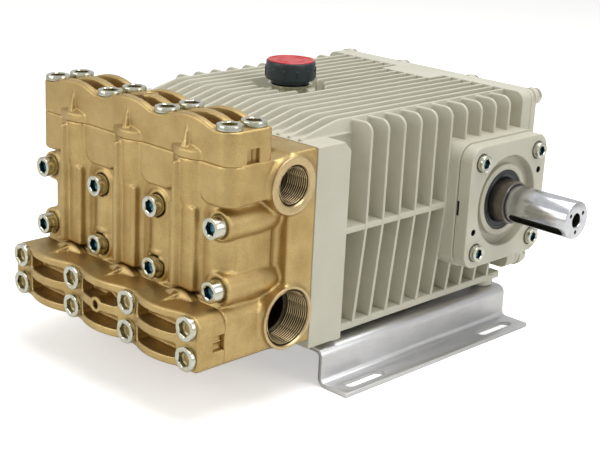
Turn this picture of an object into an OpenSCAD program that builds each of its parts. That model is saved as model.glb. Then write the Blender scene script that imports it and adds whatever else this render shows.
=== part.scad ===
// Three-plunger high-pressure pump: brass manifold with two valve covers, finned
// crankcase, drive shaft on the right, two mounting rails. Millimetres, +Z up.
// Origin: centre of the foot slot pattern, on the floor plane under the rails.
// +X runs along the drive shaft, the manifold faces -Y.

/* [Layout] */
// Height of the crankshaft axis above the floor
shaft_height = 135; // [125:1:150]
// Distance between neighbouring plungers
plunger_pitch = 74; // [72:0.5:76]
// Manifold joint face to the crankshaft axis, along Y
joint_to_shaft = 232.5; // [228:0.5:245]
// Manifold joint face to the centre of the foot slots, along Y
joint_to_slots = 147; // [140:1:155]

/* [Manifold] */
// Depth of the manifold casting in front of the joint face
manifold_d = 93; // [90:1:96]
// Top of the valve block above the shaft axis
block_top = 75.5; // [74:0.5:78]
// Underside of the manifold below the shaft axis
block_bottom = 87.5; // [86:0.5:89]
// Thickness of the rear plate of the manifold
plate_t = 28; // [24:1:30]
// Height of the rear plate above the shaft axis
plate_top = 79.5; // [78.5:0.5:81]
// Radius of the bosses around the manifold screws
screw_boss_r = 12.5; // [11.5:0.5:13]
// Distance between the two rows of manifold screws
screw_rows = 52.6; // [50:0.2:54]
// Width of the raised column in front of each plunger
column_w = 29; // [26:1:31]
// How far the raised column stands ahead of the casting
column_out = 5; // [3:0.5:7]
// Width of the seam rib on each column
seam_w = 5.5; // [4:0.5:7]
// How far the seam rib stands ahead of its column
seam_out = 3; // [2:0.5:4]
// Wall under the valve block, measured down from its top
valve_block_h = 33; // [30:1:36]
// Draw-in of the casting's ends between the valve blocks
waist_in = 9; // [4:1:12]
// Depth of the casting's middle behind its front face
waist_depth = 13; // [8:1:16]
// Radius of the upright corners of the casting's middle
waist_corner_r = 14; // [8:1:18]
// Screw seats behind the front face
seat_in = 4; // [2:0.5:8]
// Axes of the upright barrels behind the front face
barrel_in = 17; // [14:1:20]

/* [Ports] */
// Outlet port centre above the shaft axis
outlet_up = 53; // [52:0.5:54]
// Inlet port centre below the shaft axis
inlet_down = 59.5; // [58:0.5:60]
// Port centres in front of the joint face
port_forward = 28.5; // [28:0.5:30]
// How far the port faces stand out of the plate
port_out = 3; // [2:0.5:5]
// Outlet thread radius at its crests
outlet_r = 15.15; // [14.5:0.05:15.5]
// Inlet thread radius at its crests
inlet_r = 22.42; // [21.5:0.01:22.5]
// Outlet boss radius
outlet_boss_r = 24.3; // [23:0.1:25]
// Inlet boss radius
inlet_boss_r = 27.3; // [27:0.1:27.8]
// Length of both port threads
port_thread_l = 24; // [20:1:30]
// Radius of the outlet gallery behind its thread
outlet_gallery_r = 12; // [10:0.5:13]
// Radius of the inlet gallery behind its thread
inlet_gallery_r = 19.5; // [17:0.5:20]

/* [Port plugs] */
// Hexagon of the outlet plug, corner to corner
outlet_hex = 34; // [30:1:40]
// Hexagon of the inlet plug, corner to corner
inlet_hex = 42; // [38:1:48]
// Height of the plug heads
plug_head_h = 13; // [10:1:16]
// Thickness of the plug flanges
plug_flange_h = 4; // [3:0.5:6]
// How far the plug flanges stay inside the port bosses
plug_flange_in = 2.5; // [1.5:0.5:3]
// Radial clearance of the plugs in their threads
plug_clear = 0.3; // [0.1:0.1:0.5]
// Thickness of the plug washers
washer_t = 2; // [1:0.5:3]

/* [Valve covers] */
// Width of a cover across its screw rows
cover_w = 47; // [46:1:48]
// Thickness of a cover at its screw seats
cover_t = 27.5; // [25:0.5:30]
// Distance between the two screw rows of a cover
cover_rows = 25.4; // [25:0.1:26]
// Centre of the delivery cover in front of the joint face
delivery_forward = 70.6; // [70:0.2:72]
// Centre of the suction cover below the shaft axis
suction_down = 63.6; // [63:0.2:64.4]
// How far the ribs arch above the screw seats
arch_rise = 6.5; // [4:0.5:8]
// Width of each pocket between the ribs
pocket_w = 12.4; // [9:0.1:12.6]
// Depth of the pockets below the screw seats
pocket_d = 11; // [6:1:14]
// Radius of the pads around the cover screws, and of the corners on the side of the gussets
seat_r = 13; // [12.5:0.1:13.5]
// Corner radius on the other side of the covers
cover_back_r = 8; // [5:0.5:11]
// How far the arches reach over the pads at each side
arch_over = 4; // [2:0.5:6]
// Pocket centres beside the middle rib
pocket_side = 10.2; // [9.8:0.1:10.6]
// Height of the lip under each gusset
lip_h = 6; // [4:0.5:8]
// Half the length of each lip
lip_half = 16.5; // [14:0.5:18]
// Gap between the suction cover's lips and the casting above them
lip_gap = 1; // [0.5:0.5:2]
// Thickness of each gusset
gusset_t = 4.4; // [3:0.2:6]
// Foot of each gusset behind the edge of its lip
gusset_back = 0.5; // [0.5:0.5:2]
// Top of each gusset below the screw seats
gusset_below = 2; // [1:0.5:6]
// Diameter of the hole in the middle bay
cover_hole_d = 7; // [5:0.5:8]
// Wall around that hole
cover_hole_wall = 3.5; // [2.5:0.5:4]
// Size of the pry notch at the end of each cover
notch = 12; // [9:1:13]
// Depth of the pry notch
notch_d = 4.5; // [3:0.5:6]
// Pry notch beside the middle of its cover
notch_off = 1.5; // [0:0.5:4]

/* [Screws] */
// Shank diameter of the cover screws
cover_screw_d = 14; // [12:1:14]
// Head diameter of the cover screws
cover_head_d = 21; // [19:0.5:21.4]
// Head height of the cover screws
cover_head_h = 4.5; // [4:0.5:6]
// Grip of the cover screws in the manifold
cover_screw_grip = 26; // [20:1:28]
// Shank diameter of the manifold screws
manifold_screw_d = 12; // [10:1:12]
// Head diameter of the manifold screws
manifold_head_d = 18; // [16:0.5:19]
// Head height of the manifold screws
manifold_head_h = 12; // [10:0.5:13]
// Grip of the manifold screws in the crankcase
manifold_screw_grip = 22; // [18:1:30]
// Diameter of the screws in the bearing covers, rear cover and feet
case_screw_d = 8; // [6:1:8]
// Head diameter of those screws
case_head_d = 15.5; // [13:0.5:16]
// Head height of those screws
case_head_h = 5.5; // [4:0.5:6]
// Grip of those screws in the crankcase
case_screw_grip = 16; // [12:1:20]
// How much deeper the threads go than the screws
thread_spare = 2; // [1:0.5:4]
// Radial clearance around every screw shank and in every counterbore
screw_clear = 0.5; // [0.3:0.1:0.8]
// Radial clearance of a screw in its thread
thread_clear = 0.1; // [0.05:0.05:0.15]
// Hexagon socket of every screw, corner to corner, as a share of its shank
socket_share = 0.95; // [0.8:0.05:1]

/* [Crankcase] */
// How far the plate and the crankcase reach beyond the valve covers at each end
end_margin = 3; // [2:0.5:6]
// How far the side fins stand out of the housing
side_fin_out = 23; // [20:0.5:26]
// Length of the crankcase behind the joint face
case_l = 292; // [290:0.5:300]
// Depth of the front flange along Y
flange_t = 40; // [36:1:42]
// Chamfer at the top back edge of the front flange
flange_chamfer = 8; // [4:0.5:12]
// Underside of the crankcase above the floor
case_bottom = 39.5; // [38:0.5:44]
// Thickness of a cooling fin
fin_t = 3.6; // [3:0.2:4.4]
// Height of the top fins above the case
top_fin_h = 12.5; // [9:0.5:14]
// Pitch of the top fins
top_fin_pitch = 12.8; // [12.4:0.1:13]
// Number of top fins on each side of the middle one
top_fins_half = 8; // [6:1:8]
// Length of the ramp at the front of the top fins
ramp_l = 46; // [40:1:50]
// Height of the fins above the case where the ramp starts
ramp_start = 1; // [0.5:0.5:3]
// Pitch of the side fins
side_fin_pitch = 21.5; // [20:0.5:22]
// Number of side fins
side_fins = 10; // [8:1:10]
// First side fin behind the joint face
first_side_fin = 64.8; // [60:0.2:66]
// Draw-in of the side fins at their lower ends
fin_draft = 9; // [5:1:12]
// Corner radius of the side fins
fin_corner = 9; // [6:0.5:10]
// Thickness of the rib at shaft height
mid_rib_t = 6; // [4:0.5:8]
// Width of the plain pad at the rear of the top
pad_w = 66; // [60:1:70]
// Length of the plain pad along Y
pad_l = 37; // [30:1:50]
// Free circle in the top fins around the oil filler
filler_clear_r = 33; // [30:1:36]
// Height of the base skirt below the side fins
skirt_h = 7; // [5:1:12]
// How far the boss around the filler stands above the case
filler_boss_h = 2; // [1:0.5:3]

/* [Rear cover] */
// Thickness of the rear flange of the crankcase
rear_flange_t = 14; // [10:0.5:15]
// Thickness of the rear cover
rear_cover_t = 8.5; // [7:0.5:12]
// Height of the rear cover above the top fins
rear_cover_up = 0.5; // [0.5:0.5:3]
// Lower edge of the rear cover above the underside of the crankcase
rear_cover_low = 11; // [8:0.5:14]
// Corner radius of the rear cover
rear_corner_r = 10; // [8:0.5:14]
// Radius of the bosses around its screws
rear_boss_r = 9; // [8.5:0.5:10]
// Height of those bosses above the cover
rear_boss_h = 4; // [2:0.5:6]
// Rear cover screws inside the edges of the cover
rear_screw_in = 8; // [8:0.5:9]
// Distance between the two middle screws of each row
rear_screw_gap = 90; // [80:1:110]
// Outer radius of the sight glass rim
sight_r = 15; // [12:0.5:18]
// Radius of the sight glass window
window_r = 11; // [8:0.5:11.5]
// How far the sight glass rim stands out of the cover
sight_out = 3; // [2:0.5:5]
// Shank diameter of the drain plug
drain_d = 16; // [12:1:20]
// Head diameter of the drain plug
drain_head_d = 24; // [22:1:28]
// Head height of the drain plug
drain_head_h = 6; // [5:0.5:8]
// Drain plug above the lower edge of the rear cover
drain_up = 24; // [22:1:30]

/* [Bearing covers and shaft] */
// How far the bearing housings stand out of the side fins
housing_out = 10; // [8:0.5:12]
// How far the bearing housings reach past the covers all round
housing_past = 1.5; // [0.5:0.5:3]
// Corner radius of the bearing covers
bearing_corner_r = 15; // [12:0.5:18]
// Side of the square bearing covers
bearing_cover_w = 115; // [113:1:118]
// Thickness of the bearing covers
bearing_cover_t = 14; // [12:0.5:16]
// Half the distance between the bearing cover screws
bearing_screw_half = 42.5; // [41:0.5:43.5]
// Diameter of the two jacking holes in each bearing cover
jack_hole_d = 5.5; // [4:0.5:6]
// Jacking holes beside the shaft axis
jack_hole_side = 47; // [46:0.5:49]
// Jacking holes above and below the shaft axis
jack_hole_up = 22.5; // [18:0.5:26]
// Length of the pry slot behind each bearing cover
pry_l = 14; // [10:1:18]
// Width of the pry slot
pry_w = 3.5; // [2:0.5:5]
// Depth of the pry slot
pry_d = 5; // [3:0.5:8]
// Outer radius of the recess in the drive side cover
recess_r = 43; // [41:0.5:44]
// Depth of that recess
recess_d = 9; // [7:0.5:10]
// Outer radius of the raised ring around the oil seal
ring_r = 34; // [32:0.5:36]
// Height of the raised ring above the recess floor
ring_h = 5; // [3:0.5:7]
// Outer radius of the oil seal
seal_r = 28; // [26:0.5:30]
// Thickness of the oil seal
seal_t = 8; // [6:0.5:9]
// Oil seal behind the face of the ring
seal_sunk = 1; // [1:0.5:3]
// Radius of the drive shaft
shaft_r = 17.5; // [16:0.5:19]
// Radius of the seal journal of the shaft
journal_r = 20; // [19.5:0.5:22]
// Length of the shaft in front of the bearing cover
shaft_out = 77; // [70:1:85]
// Length of the seal journal in front of the bearing cover
journal_out = 11; // [8:1:14]
// Inner end of the shaft from the far side of the housing
shaft_stop = 22; // [20:1:40]
// Room behind the shaft's inner end
shaft_room = 2; // [1:0.5:4]
// Chamfer on the shaft end
shaft_chamfer = 1; // [0.5:0.5:2]
// Radial running clearance around the shaft
running_clear = 0.05; // [0.03:0.01:0.08]
// Width of the keyway
key_w = 10; // [8:1:10]
// Depth of the keyway
key_d = 5; // [4:0.5:5.5]
// Length of the keyway
key_l = 58; // [45:1:60]
// Start of the keyway behind the seal journal
key_start = 3; // [2:0.5:5]
// Angle of the keyway below the horizontal, on the manifold side
key_angle = 38; // [34:1:40]
// Diameter of the threaded hole in the shaft end
shaft_hole_d = 13; // [9:0.5:14]
// Depth of that hole
shaft_hole_l = 22; // [15:1:30]
// Diameter of the three small holes around it
small_hole_d = 3.6; // [3:0.2:4]
// Depth of the small holes
small_hole_l = 10; // [6:1:14]
// Radius of the circle through the small holes
small_hole_r = 11; // [9:0.5:12]

/* [Oil filler] */
// Filler centre behind the joint face
filler_back = 120.5; // [118:0.5:125]
// Filler centre beside the middle plane, away from the drive side
filler_beside = 28; // [24:1:32]
// Radius of the filler cap
cap_r = 24; // [23:0.5:25]
// Height of the filler cap
cap_h = 21.8; // [19:0.1:23]
// Radius of the disc on the cap
disc_r = 22; // [18:0.5:22]
// Height of the cap's underside above the top of the case
cap_up = 13.2; // [12.8:0.1:18]
// Radius of the filler neck
neck_r = 17; // [14:0.5:19]
// Wall of the filler neck where it passes the case
neck_wall = 3; // [2:0.5:4]
// How far the neck's collar stands out of its thread
neck_step = 4; // [2:0.5:5]
// Depth of the neck in the case
neck_sunk = 12; // [8:1:16]
// Thickness of the disc
disc_t = 2; // [1.5:0.5:3]
// How far the disc stands out of the cap
disc_out = 1; // [0.5:0.5:1]
// Number of grip ribs on the cap
cap_ribs = 24; // [12:1:24]
// Radius of each grip rib
cap_rib_r = 1.2; // [1:0.1:1.8]

/* [Mounting rails] */
// Sheet thickness of the rails
rail_t = 4; // [3:0.5:5]
// Height of the rails
rail_h = 34; // [30:1:38]
// Length of the rails
rail_l = 260; // [250:1:270]
// How far the rail webs stand beyond the sides of the crankcase
web_beyond = 1; // [0:0.5:5]
// Width of the lower flange, measured from the web's outer side
foot_w = 30; // [28:1:34]
// Width of the upper flange, measured from the web's outer side
top_flange_w = 44; // [38:1:50]
// Outer bend radius of the rails
bend_r = 8; // [6:0.5:9]
// Distance between the slots along the rail
slot_span = 186; // [180:1:192]
// Slot centres beyond the web's outer side
slot_beyond = 17; // [15:0.5:18]
// Slot width
slot_w = 11; // [9:0.5:12]
// Slot length end to end
slot_l = 48; // [40:1:52]
// Radius of the foot bosses of the crankcase
foot_boss_r = 12; // [10:0.5:13]
// Foot boss centres inside the outer sides of the rail webs
foot_boss_in = 20; // [18:1:24]
// Distance between the foot bosses along Y
foot_boss_span = 223; // [214:1:224]
// Middle of the foot bosses behind the middle of the slots
foot_boss_back = 6; // [0:0.5:6]

/* [Hidden] */
$fn = 64;
eps = 0.01;
over = 1;
columns = [for (i = [-1.5:1:1.5]) i * plunger_pitch];
bays = [for (i = [-1:1]) i * plunger_pitch];
cover_l = 3 * plunger_pitch + 2 * seat_r;
case_half = cover_l / 2 + end_margin;
core_half = case_half - side_fin_out;
joint_y = -joint_to_slots;
shaft_y = joint_y + joint_to_shaft;
front_y = joint_y - manifold_d;
plate_y = joint_y - plate_t;
case_rear_y = joint_y + case_l;
block_z = shaft_height + block_top;
bottom_z = shaft_height - block_bottom;
case_top = shaft_height + plate_top;
fin_top = case_top + top_fin_h;
fin_low = case_bottom + skirt_h;
lip_out = column_out + 1;
port_x = case_half + port_out;
port_y = joint_y - port_forward;
outlet_z = shaft_height + outlet_up;
inlet_z = shaft_height - inlet_down;
delivery_y = joint_y - delivery_forward;
suction_z = shaft_height - suction_down;
screw_zs = [for (s = [-0.5, 0.5]) shaft_height + s * screw_rows];
screw_seat_y = front_y + seat_in;
cover_hole_boss_r = cover_hole_d / 2 + cover_hole_wall;
fin_ys = [for (i = [0:side_fins - 1]) joint_y + first_side_fin + i * side_fin_pitch];
filler_y = joint_y + filler_back;
filler_x = -filler_beside;
cap_z = case_top + cap_up;
rear_top = fin_top + rear_cover_up;
rear_low = case_bottom + rear_cover_low;
rear_face_y = case_rear_y + rear_cover_t;
rear_screw_xs = [
    for (s = [-1, 1]) s * (case_half - rear_screw_in),
    for (s = [-0.5, 0.5]) s * rear_screw_gap
];
rear_screw_zs = [rear_low + rear_screw_in, rear_top - rear_screw_in];
drain_z = rear_low + drain_up;
housing_half = bearing_cover_w / 2 + housing_past;
cover_seat_x = case_half + housing_out;
cover_face_x = cover_seat_x + bearing_cover_t;
seal_x = cover_face_x - recess_d + ring_h - seal_sunk - seal_t;
journal_x = cover_face_x + journal_out;
shaft_end_x = cover_face_x + shaft_out;
web_half = case_half + web_beyond;
slot_x = web_half + slot_beyond;
foot_boss_x = web_half - foot_boss_in;
foot_boss_ys = [for (s = [-0.5, 0.5]) foot_boss_back + s * foot_boss_span];

// Colours of the finishes
brass = [0.80, 0.68, 0.42];
cream = [0.82, 0.81, 0.75];
zinc = [0.78, 0.79, 0.80];
steel = [0.60, 0.60, 0.61];
black = [0.08, 0.09, 0.10];
red = [0.80, 0.12, 0.16];
copper = [0.72, 0.45, 0.30];
glass = [0.80, 0.75, 0.50];

// Block between two corners
module span(lo, hi) { translate(lo) cube([hi[0] - lo[0], hi[1] - lo[1], hi[2] - lo[2]]); }

// Round bar along X, Y or Z from a start point
module bar_x(at, r, l) { translate(at) rotate([0, 90, 0]) cylinder(r = r, h = l); }
module bar_y(at, r, l) { translate(at) rotate([-90, 0, 0]) cylinder(r = r, h = l); }
module bar_z(at, r, l) { translate(at) cylinder(r = r, h = l); }

// Its own shape and the mirror image on the other side of the middle plane
module both_sides() {
    children();
    mirror([1, 0, 0]) children();
}

// Rectangle with round corners, centred
module round_rect(w, h, r) {
    square([w - 2 * r, h], center = true);
    square([w, h - 2 * r], center = true);
    for (sx = [-1, 1], sy = [-1, 1])
        translate([sx * (w / 2 - r), sy * (h / 2 - r)]) circle(r = r);
}

// Socket head screw: seat at z = 0, shank down, head up
module socket_screw(d, head_d, head_h, grip) {
    socket_r = d * socket_share / 2;
    difference() {
        union() {
            cylinder(r = head_d / 2, h = head_h);
            translate([0, 0, -grip]) cylinder(r = d / 2, h = grip + eps);
        }
        translate([0, 0, head_h / 2]) cylinder(r = socket_r, h = head_h, $fn = 6);
    }
}

// Placement of the two valve covers: local x along the pump, local z away from the joint
module at_delivery() { translate([0, delivery_y, block_z]) children(); }
module at_suction() { translate([0, front_y, suction_z]) rotate([90, 0, 0]) children(); }

// Screw positions of a valve cover in its own plane
module cover_screw_places() {
    for (x = columns, s = [-0.5, 0.5]) translate([x, s * cover_rows, 0]) children();
}

// Profile of the ribs across the pump: seats at the screws, an arch over each bay
module arch_profile() {
    arch_half = plunger_pitch / 2 - seat_r + arch_over;
    arch_r = (arch_half * arch_half + arch_rise * arch_rise) / (2 * arch_rise);
    translate([-cover_l / 2, 0]) square([cover_l, cover_t]);
    for (x = bays) translate([x, 0]) intersection() {
        translate([0, cover_t + arch_rise - arch_r]) circle(r = arch_r, $fn = 180);
        translate([-plunger_pitch / 2, over]) square([plunger_pitch, cover_t + arch_rise]);
    }
}

// Outline of a cover: side = 1 puts the rounder corners towards local -y
module cover_outline(side) {
    round_rect(cover_l, cover_w, seat_r);
    translate([0, side * cover_w / 4]) round_rect(cover_l, cover_w / 2, cover_back_r);
}

// Pocket between two ribs of a valve cover, on one side of the middle rib
module cover_pocket(x, s) {
    bay_l = plunger_pitch - 2 * seat_r;
    difference() {
        translate([x - bay_l / 2, s * pocket_side - pocket_w / 2, cover_t - pocket_d])
            cube([bay_l, pocket_w, pocket_d + arch_rise + over]);
        if (x == 0) cylinder(r = cover_hole_boss_r, h = cover_t + arch_rise);
    }
}

// One valve cover: side = 1 puts its gussets towards local -y
module valve_cover(side) {
    difference() {
        union() {
            intersection() {
                translate([0, cover_w / 2, 0]) rotate([90, 0, 0])
                    linear_extrude(cover_w) arch_profile();
                linear_extrude(cover_t + arch_rise) cover_outline(side);
            }
            for (x = bays) translate([x, 0, 0]) gusset(side);
            translate([0, 0, cover_t - pocket_d])
                cylinder(r = cover_hole_boss_r, h = pocket_d + arch_rise);
        }
        for (x = bays, s = [-1, 1]) cover_pocket(x, s);
        translate([0, 0, cover_t - pocket_d]) cylinder(r = cover_hole_d / 2, h = pocket_d * 2);
        cover_screw_places() {
            translate([0, 0, -over]) cylinder(r = cover_screw_d / 2 + screw_clear, h = cover_t + 2 * over);
            translate([0, 0, cover_t]) cylinder(r = cover_head_d / 2 + screw_clear, h = arch_rise + over);
        }
        for (s = [-1, 1]) translate([s * cover_l / 2, side * notch_off, 0])
            cube([2 * notch_d, notch, 2 * notch], center = true);
    }
}

// Lens-shaped lip and triangular gusset in front of each plunger
module gusset(side) {
    lens_r = (lip_half * lip_half + lip_out * lip_out) / (2 * lip_out);
    translate([0, -side * cover_w / 2, 0]) mirror([0, side < 0 ? 1 : 0, 0]) {
        linear_extrude(lip_h) intersection() {
            translate([0, lens_r - lip_out]) circle(r = lens_r, $fn = 180);
            translate([-lip_half - over, -lip_out - over])
                square([2 * (lip_half + over), lip_out + 2 * over]);
        }
        translate([-gusset_t / 2, 0, lip_h - eps]) rotate([90, 0, 90]) linear_extrude(gusset_t)
            polygon([[over, 0], [gusset_back - lip_out, 0], [over, cover_t - lip_h - gusset_below]]);
    }
}

// Bores of one port on both ends: threads, and the gallery that joins them
module port_bores(z, r, gallery_r) {
    both_sides() bar_x([port_x - port_thread_l, port_y, z], r, port_thread_l + over);
    bar_x([-port_x + over, port_y, z], gallery_r, 2 * (port_x - over));
}

module manifold_body() {
    lower_top = suction_z + cover_w / 2;
    lip_top = lower_top + lip_out + lip_gap;
    waist_half = cover_l / 2 - waist_in;
    waist_y = front_y + waist_depth;
    waist_top = block_z - valve_block_h + eps;
    color(brass) difference() {
        union() {
            // rear plate
            span([-case_half, plate_y, bottom_z], [case_half, joint_y, case_top]);
            // valve block under the delivery cover
            translate([0, delivery_y, block_z - valve_block_h])
                linear_extrude(valve_block_h) cover_outline(1);
            span([-cover_l / 2, delivery_y, block_z - valve_block_h],
                 [cover_l / 2, plate_y + eps, block_z]);
            // valve block behind the suction cover
            translate([0, plate_y + eps, suction_z]) rotate([90, 0, 0])
                linear_extrude(plate_y + eps - front_y) cover_outline(-1);
            // narrower middle of the casting, with round upright corners
            translate([0, waist_y + cover_w / 2, lower_top - over])
                linear_extrude(waist_top - lower_top + over)
                    round_rect(2 * waist_half, cover_w, waist_corner_r);
            span([-waist_half, waist_y + cover_w / 2, lower_top - over],
                 [waist_half, plate_y + eps, waist_top]);
            // bosses around the manifold screws
            for (x = columns, z = screw_zs)
                bar_y([x, screw_seat_y, z], screw_boss_r, plate_y - screw_seat_y + eps);
            // upright barrels between the inner screw bosses
            for (s = [-0.5, 0.5])
                bar_z([s * plunger_pitch, front_y + barrel_in, screw_zs[0]], screw_boss_r, screw_rows);
            // raised columns with their seam ribs, clear of the suction cover's lips
            for (x = bays) {
                span([x - column_w / 2, front_y - column_out, lip_top],
                     [x + column_w / 2, waist_y + over, block_z]);
                span([x - seam_w / 2, front_y - column_out - seam_out, lip_top],
                     [x + seam_w / 2, front_y, block_z - lip_h]);
                span([x - column_w / 2, front_y, lower_top - over],
                     [x + column_w / 2, waist_y + over, lip_top + over]);
            }
            // port bosses on both ends
            bar_x([-port_x, port_y, outlet_z], outlet_boss_r, 2 * port_x);
            bar_x([-port_x, port_y, inlet_z], inlet_boss_r, 2 * port_x);
        }
        port_bores(outlet_z, outlet_r, outlet_gallery_r);
        port_bores(inlet_z, inlet_r, inlet_gallery_r);
        // manifold screw holes
        for (x = columns, z = screw_zs)
            bar_y([x, front_y - over, z], manifold_screw_d / 2 + screw_clear, manifold_d + 2 * over);
        // threads for the cover screws
        at_delivery() cover_screw_places() cover_screw_thread();
        at_suction() cover_screw_places() cover_screw_thread();
    }
}
module cover_screw_thread() {
    thread_l = cover_screw_grip + thread_spare;
    translate([0, 0, -thread_l]) cylinder(r = cover_screw_d / 2 + thread_clear, h = thread_l + over);
}

module delivery_valve_cover() { color(brass) at_delivery() valve_cover(1); }
module suction_valve_cover() { color(brass) at_suction() valve_cover(-1); }

module cover_screws() {
    cover_screw_places() translate([0, 0, cover_t])
        socket_screw(cover_screw_d, cover_head_d, cover_head_h, cover_t + cover_screw_grip);
}
module delivery_cover_screws() { color(zinc) at_delivery() cover_screws(); }
module suction_cover_screws() { color(zinc) at_suction() cover_screws(); }

module manifold_screws() {
    color(zinc) for (x = columns, z = screw_zs)
        translate([x, screw_seat_y, z]) rotate([90, 0, 0])
            socket_screw(manifold_screw_d, manifold_head_d, manifold_head_h,
                         joint_y - screw_seat_y + manifold_screw_grip);
}

// Closing plug of an unused port on the left-hand end: hexagon head, flange and spigot
module port_plug(r, boss_r, z, hex_d) {
    spigot_l = port_thread_l - 2 * washer_t;
    color(brass) translate([-port_x - washer_t, port_y, z]) rotate([0, -90, 0]) {
        translate([0, 0, -spigot_l]) cylinder(r = r - plug_clear, h = spigot_l + eps);
        cylinder(r = boss_r - plug_flange_in, h = plug_flange_h);
        cylinder(r = hex_d / 2, h = plug_head_h, $fn = 6);
    }
}
module plug_washer(r, boss_r, z) {
    color(copper) translate([-port_x, port_y, z]) rotate([0, -90, 0]) difference() {
        cylinder(r = boss_r - plug_flange_in + over, h = washer_t);
        translate([0, 0, -over]) cylinder(r = r, h = washer_t + 2 * over);
    }
}
module outlet_plug() { port_plug(outlet_r, outlet_boss_r, outlet_z, outlet_hex); }
module inlet_plug() { port_plug(inlet_r, inlet_boss_r, inlet_z, inlet_hex); }
module outlet_plug_washer() { plug_washer(outlet_r, outlet_boss_r, outlet_z); }
module inlet_plug_washer() { plug_washer(inlet_r, inlet_boss_r, inlet_z); }

// Long fin on top of the case, with its ramp at the front
module top_fin(x, to_y) {
    translate([x - fin_t / 2, 0, 0]) rotate([90, 0, 90]) linear_extrude(fin_t)
        polygon([[joint_y, case_top - over], [joint_y, case_top + ramp_start],
                 [joint_y + ramp_l, fin_top], [to_y, fin_top], [to_y, case_top - over]]);
}

// Upright fin on the drive side, drawn in towards its lower end
module side_fin(y) {
    root = core_half - fin_t;
    low_out = case_half - fin_draft * (shaft_height - fin_low) / (shaft_height - case_bottom);
    translate([0, y + fin_t / 2, 0]) rotate([90, 0, 0]) linear_extrude(fin_t) {
        polygon([[root, fin_low], [low_out, fin_low], [case_half, shaft_height],
                 [case_half, fin_top - fin_corner], [case_half - fin_corner, fin_top], [root, fin_top]]);
        translate([case_half - fin_corner, fin_top - fin_corner]) circle(r = fin_corner);
    }
}

// Front flange with the chamfer at its top back edge
module front_flange() {
    back_y = joint_y + flange_t;
    translate([-case_half, 0, 0]) rotate([90, 0, 90]) linear_extrude(2 * case_half)
        polygon([[joint_y, case_bottom], [back_y, case_bottom], [back_y, case_top - flange_chamfer],
                 [back_y - flange_chamfer, case_top], [joint_y, case_top]]);
}

// Outline of the rear cover and of the rear flange behind which it sits
module rear_outline() { round_rect(2 * case_half, rear_top - rear_low, rear_corner_r); }
module at_rear(y) { translate([0, y, (rear_top + rear_low) / 2]) rotate([90, 0, 0]) children(); }

// Every screw position of the rear cover
module rear_screw_places() {
    for (x = rear_screw_xs, z = rear_screw_zs) translate([x, 0, z]) children();
}

// Every screw position of the bearing cover on the drive side
module bearing_screw_places(x) {
    for (sy = [-1, 1], sz = [-1, 1])
        translate([x, shaft_y + sy * bearing_screw_half, shaft_height + sz * bearing_screw_half])
            children();
}

module crankcase() {
    thread_r = case_screw_d / 2 + thread_clear;
    thread_l = case_screw_grip + thread_spare;
    color(cream) difference() {
        union() {
            front_flange();
            // housing between the fins
            span([-core_half, joint_y + over, case_bottom], [core_half, case_rear_y, case_top]);
            // rear flange
            at_rear(case_rear_y) linear_extrude(rear_flange_t) rear_outline();
            // base skirt
            span([-case_half + fin_draft, joint_y + flange_t - over, case_bottom],
                 [case_half - fin_draft, case_rear_y, fin_low]);
            // rib at shaft height
            span([-case_half, joint_y + flange_t - over, shaft_height - mid_rib_t / 2],
                 [case_half, case_rear_y, shaft_height + mid_rib_t / 2]);
            for (y = fin_ys) both_sides() side_fin(y);
            for (i = [-top_fins_half:top_fins_half])
                top_fin(i * top_fin_pitch,
                        case_rear_y - (abs(i) * top_fin_pitch < pad_w / 2 ? pad_l - over : over));
            // plain pad at the rear of the top
            span([-pad_w / 2, case_rear_y - pad_l, case_top - over], [pad_w / 2, case_rear_y, fin_top]);
            // bearing housings
            translate([-cover_seat_x, shaft_y, shaft_height]) rotate([0, 90, 0])
                linear_extrude(2 * cover_seat_x)
                    round_rect(2 * housing_half, 2 * housing_half, bearing_corner_r + housing_past);
            // feet
            both_sides() for (y = foot_boss_ys)
                bar_z([foot_boss_x, y, rail_h], foot_boss_r, case_bottom - rail_h + over);
        }
        // room around the filler, with its boss left standing
        difference() {
            bar_z([filler_x, filler_y, case_top], filler_clear_r, top_fin_h + over);
            bar_z([filler_x, filler_y, case_top - over], neck_r + neck_wall, over + filler_boss_h);
        }
        // bearing bore from the drive side
        bar_x([shaft_stop - core_half - shaft_room, shaft_y, shaft_height], journal_r + running_clear,
              core_half + cover_seat_x);
        // filler mouth
        bar_z([filler_x, filler_y, case_top - neck_sunk - thread_spare],
              neck_r - neck_step + thread_clear, neck_sunk + thread_spare + filler_boss_h + over);
        // threads for the manifold screws
        for (x = columns, z = screw_zs)
            bar_y([x, joint_y - over, z], manifold_screw_d / 2 + thread_clear,
                  manifold_screw_grip + thread_spare + over);
        // threads for the bearing cover screws
        both_sides() bearing_screw_places(cover_seat_x - thread_l)
            bar_x([0, 0, 0], thread_r, thread_l + over);
        // threads for the rear cover screws, through the rear flange
        rear_screw_places() bar_y([0, case_rear_y - rear_flange_t - over, 0], thread_r,
                                  rear_flange_t + 2 * over);
        // threads in the feet
        both_sides() for (y = foot_boss_ys)
            bar_z([foot_boss_x, y, rail_h - over], thread_r, thread_l + over);
    }
}

module rear_cover() {
    color(cream) difference() {
        union() {
            at_rear(rear_face_y) linear_extrude(rear_cover_t) rear_outline();
            rear_screw_places() bar_y([0, rear_face_y - over, 0], rear_boss_r - over, rear_boss_h + over);
        }
        rear_screw_places() bar_y([0, case_rear_y - over, 0], case_screw_d / 2 + screw_clear,
                                  rear_cover_t + rear_boss_h + 2 * over);
        bar_y([0, case_rear_y - over, shaft_height], sight_r + thread_clear, rear_cover_t + 2 * over);
        bar_y([0, case_rear_y - over, drain_z], drain_d / 2 + thread_clear, rear_cover_t + 2 * over);
    }
}

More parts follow.
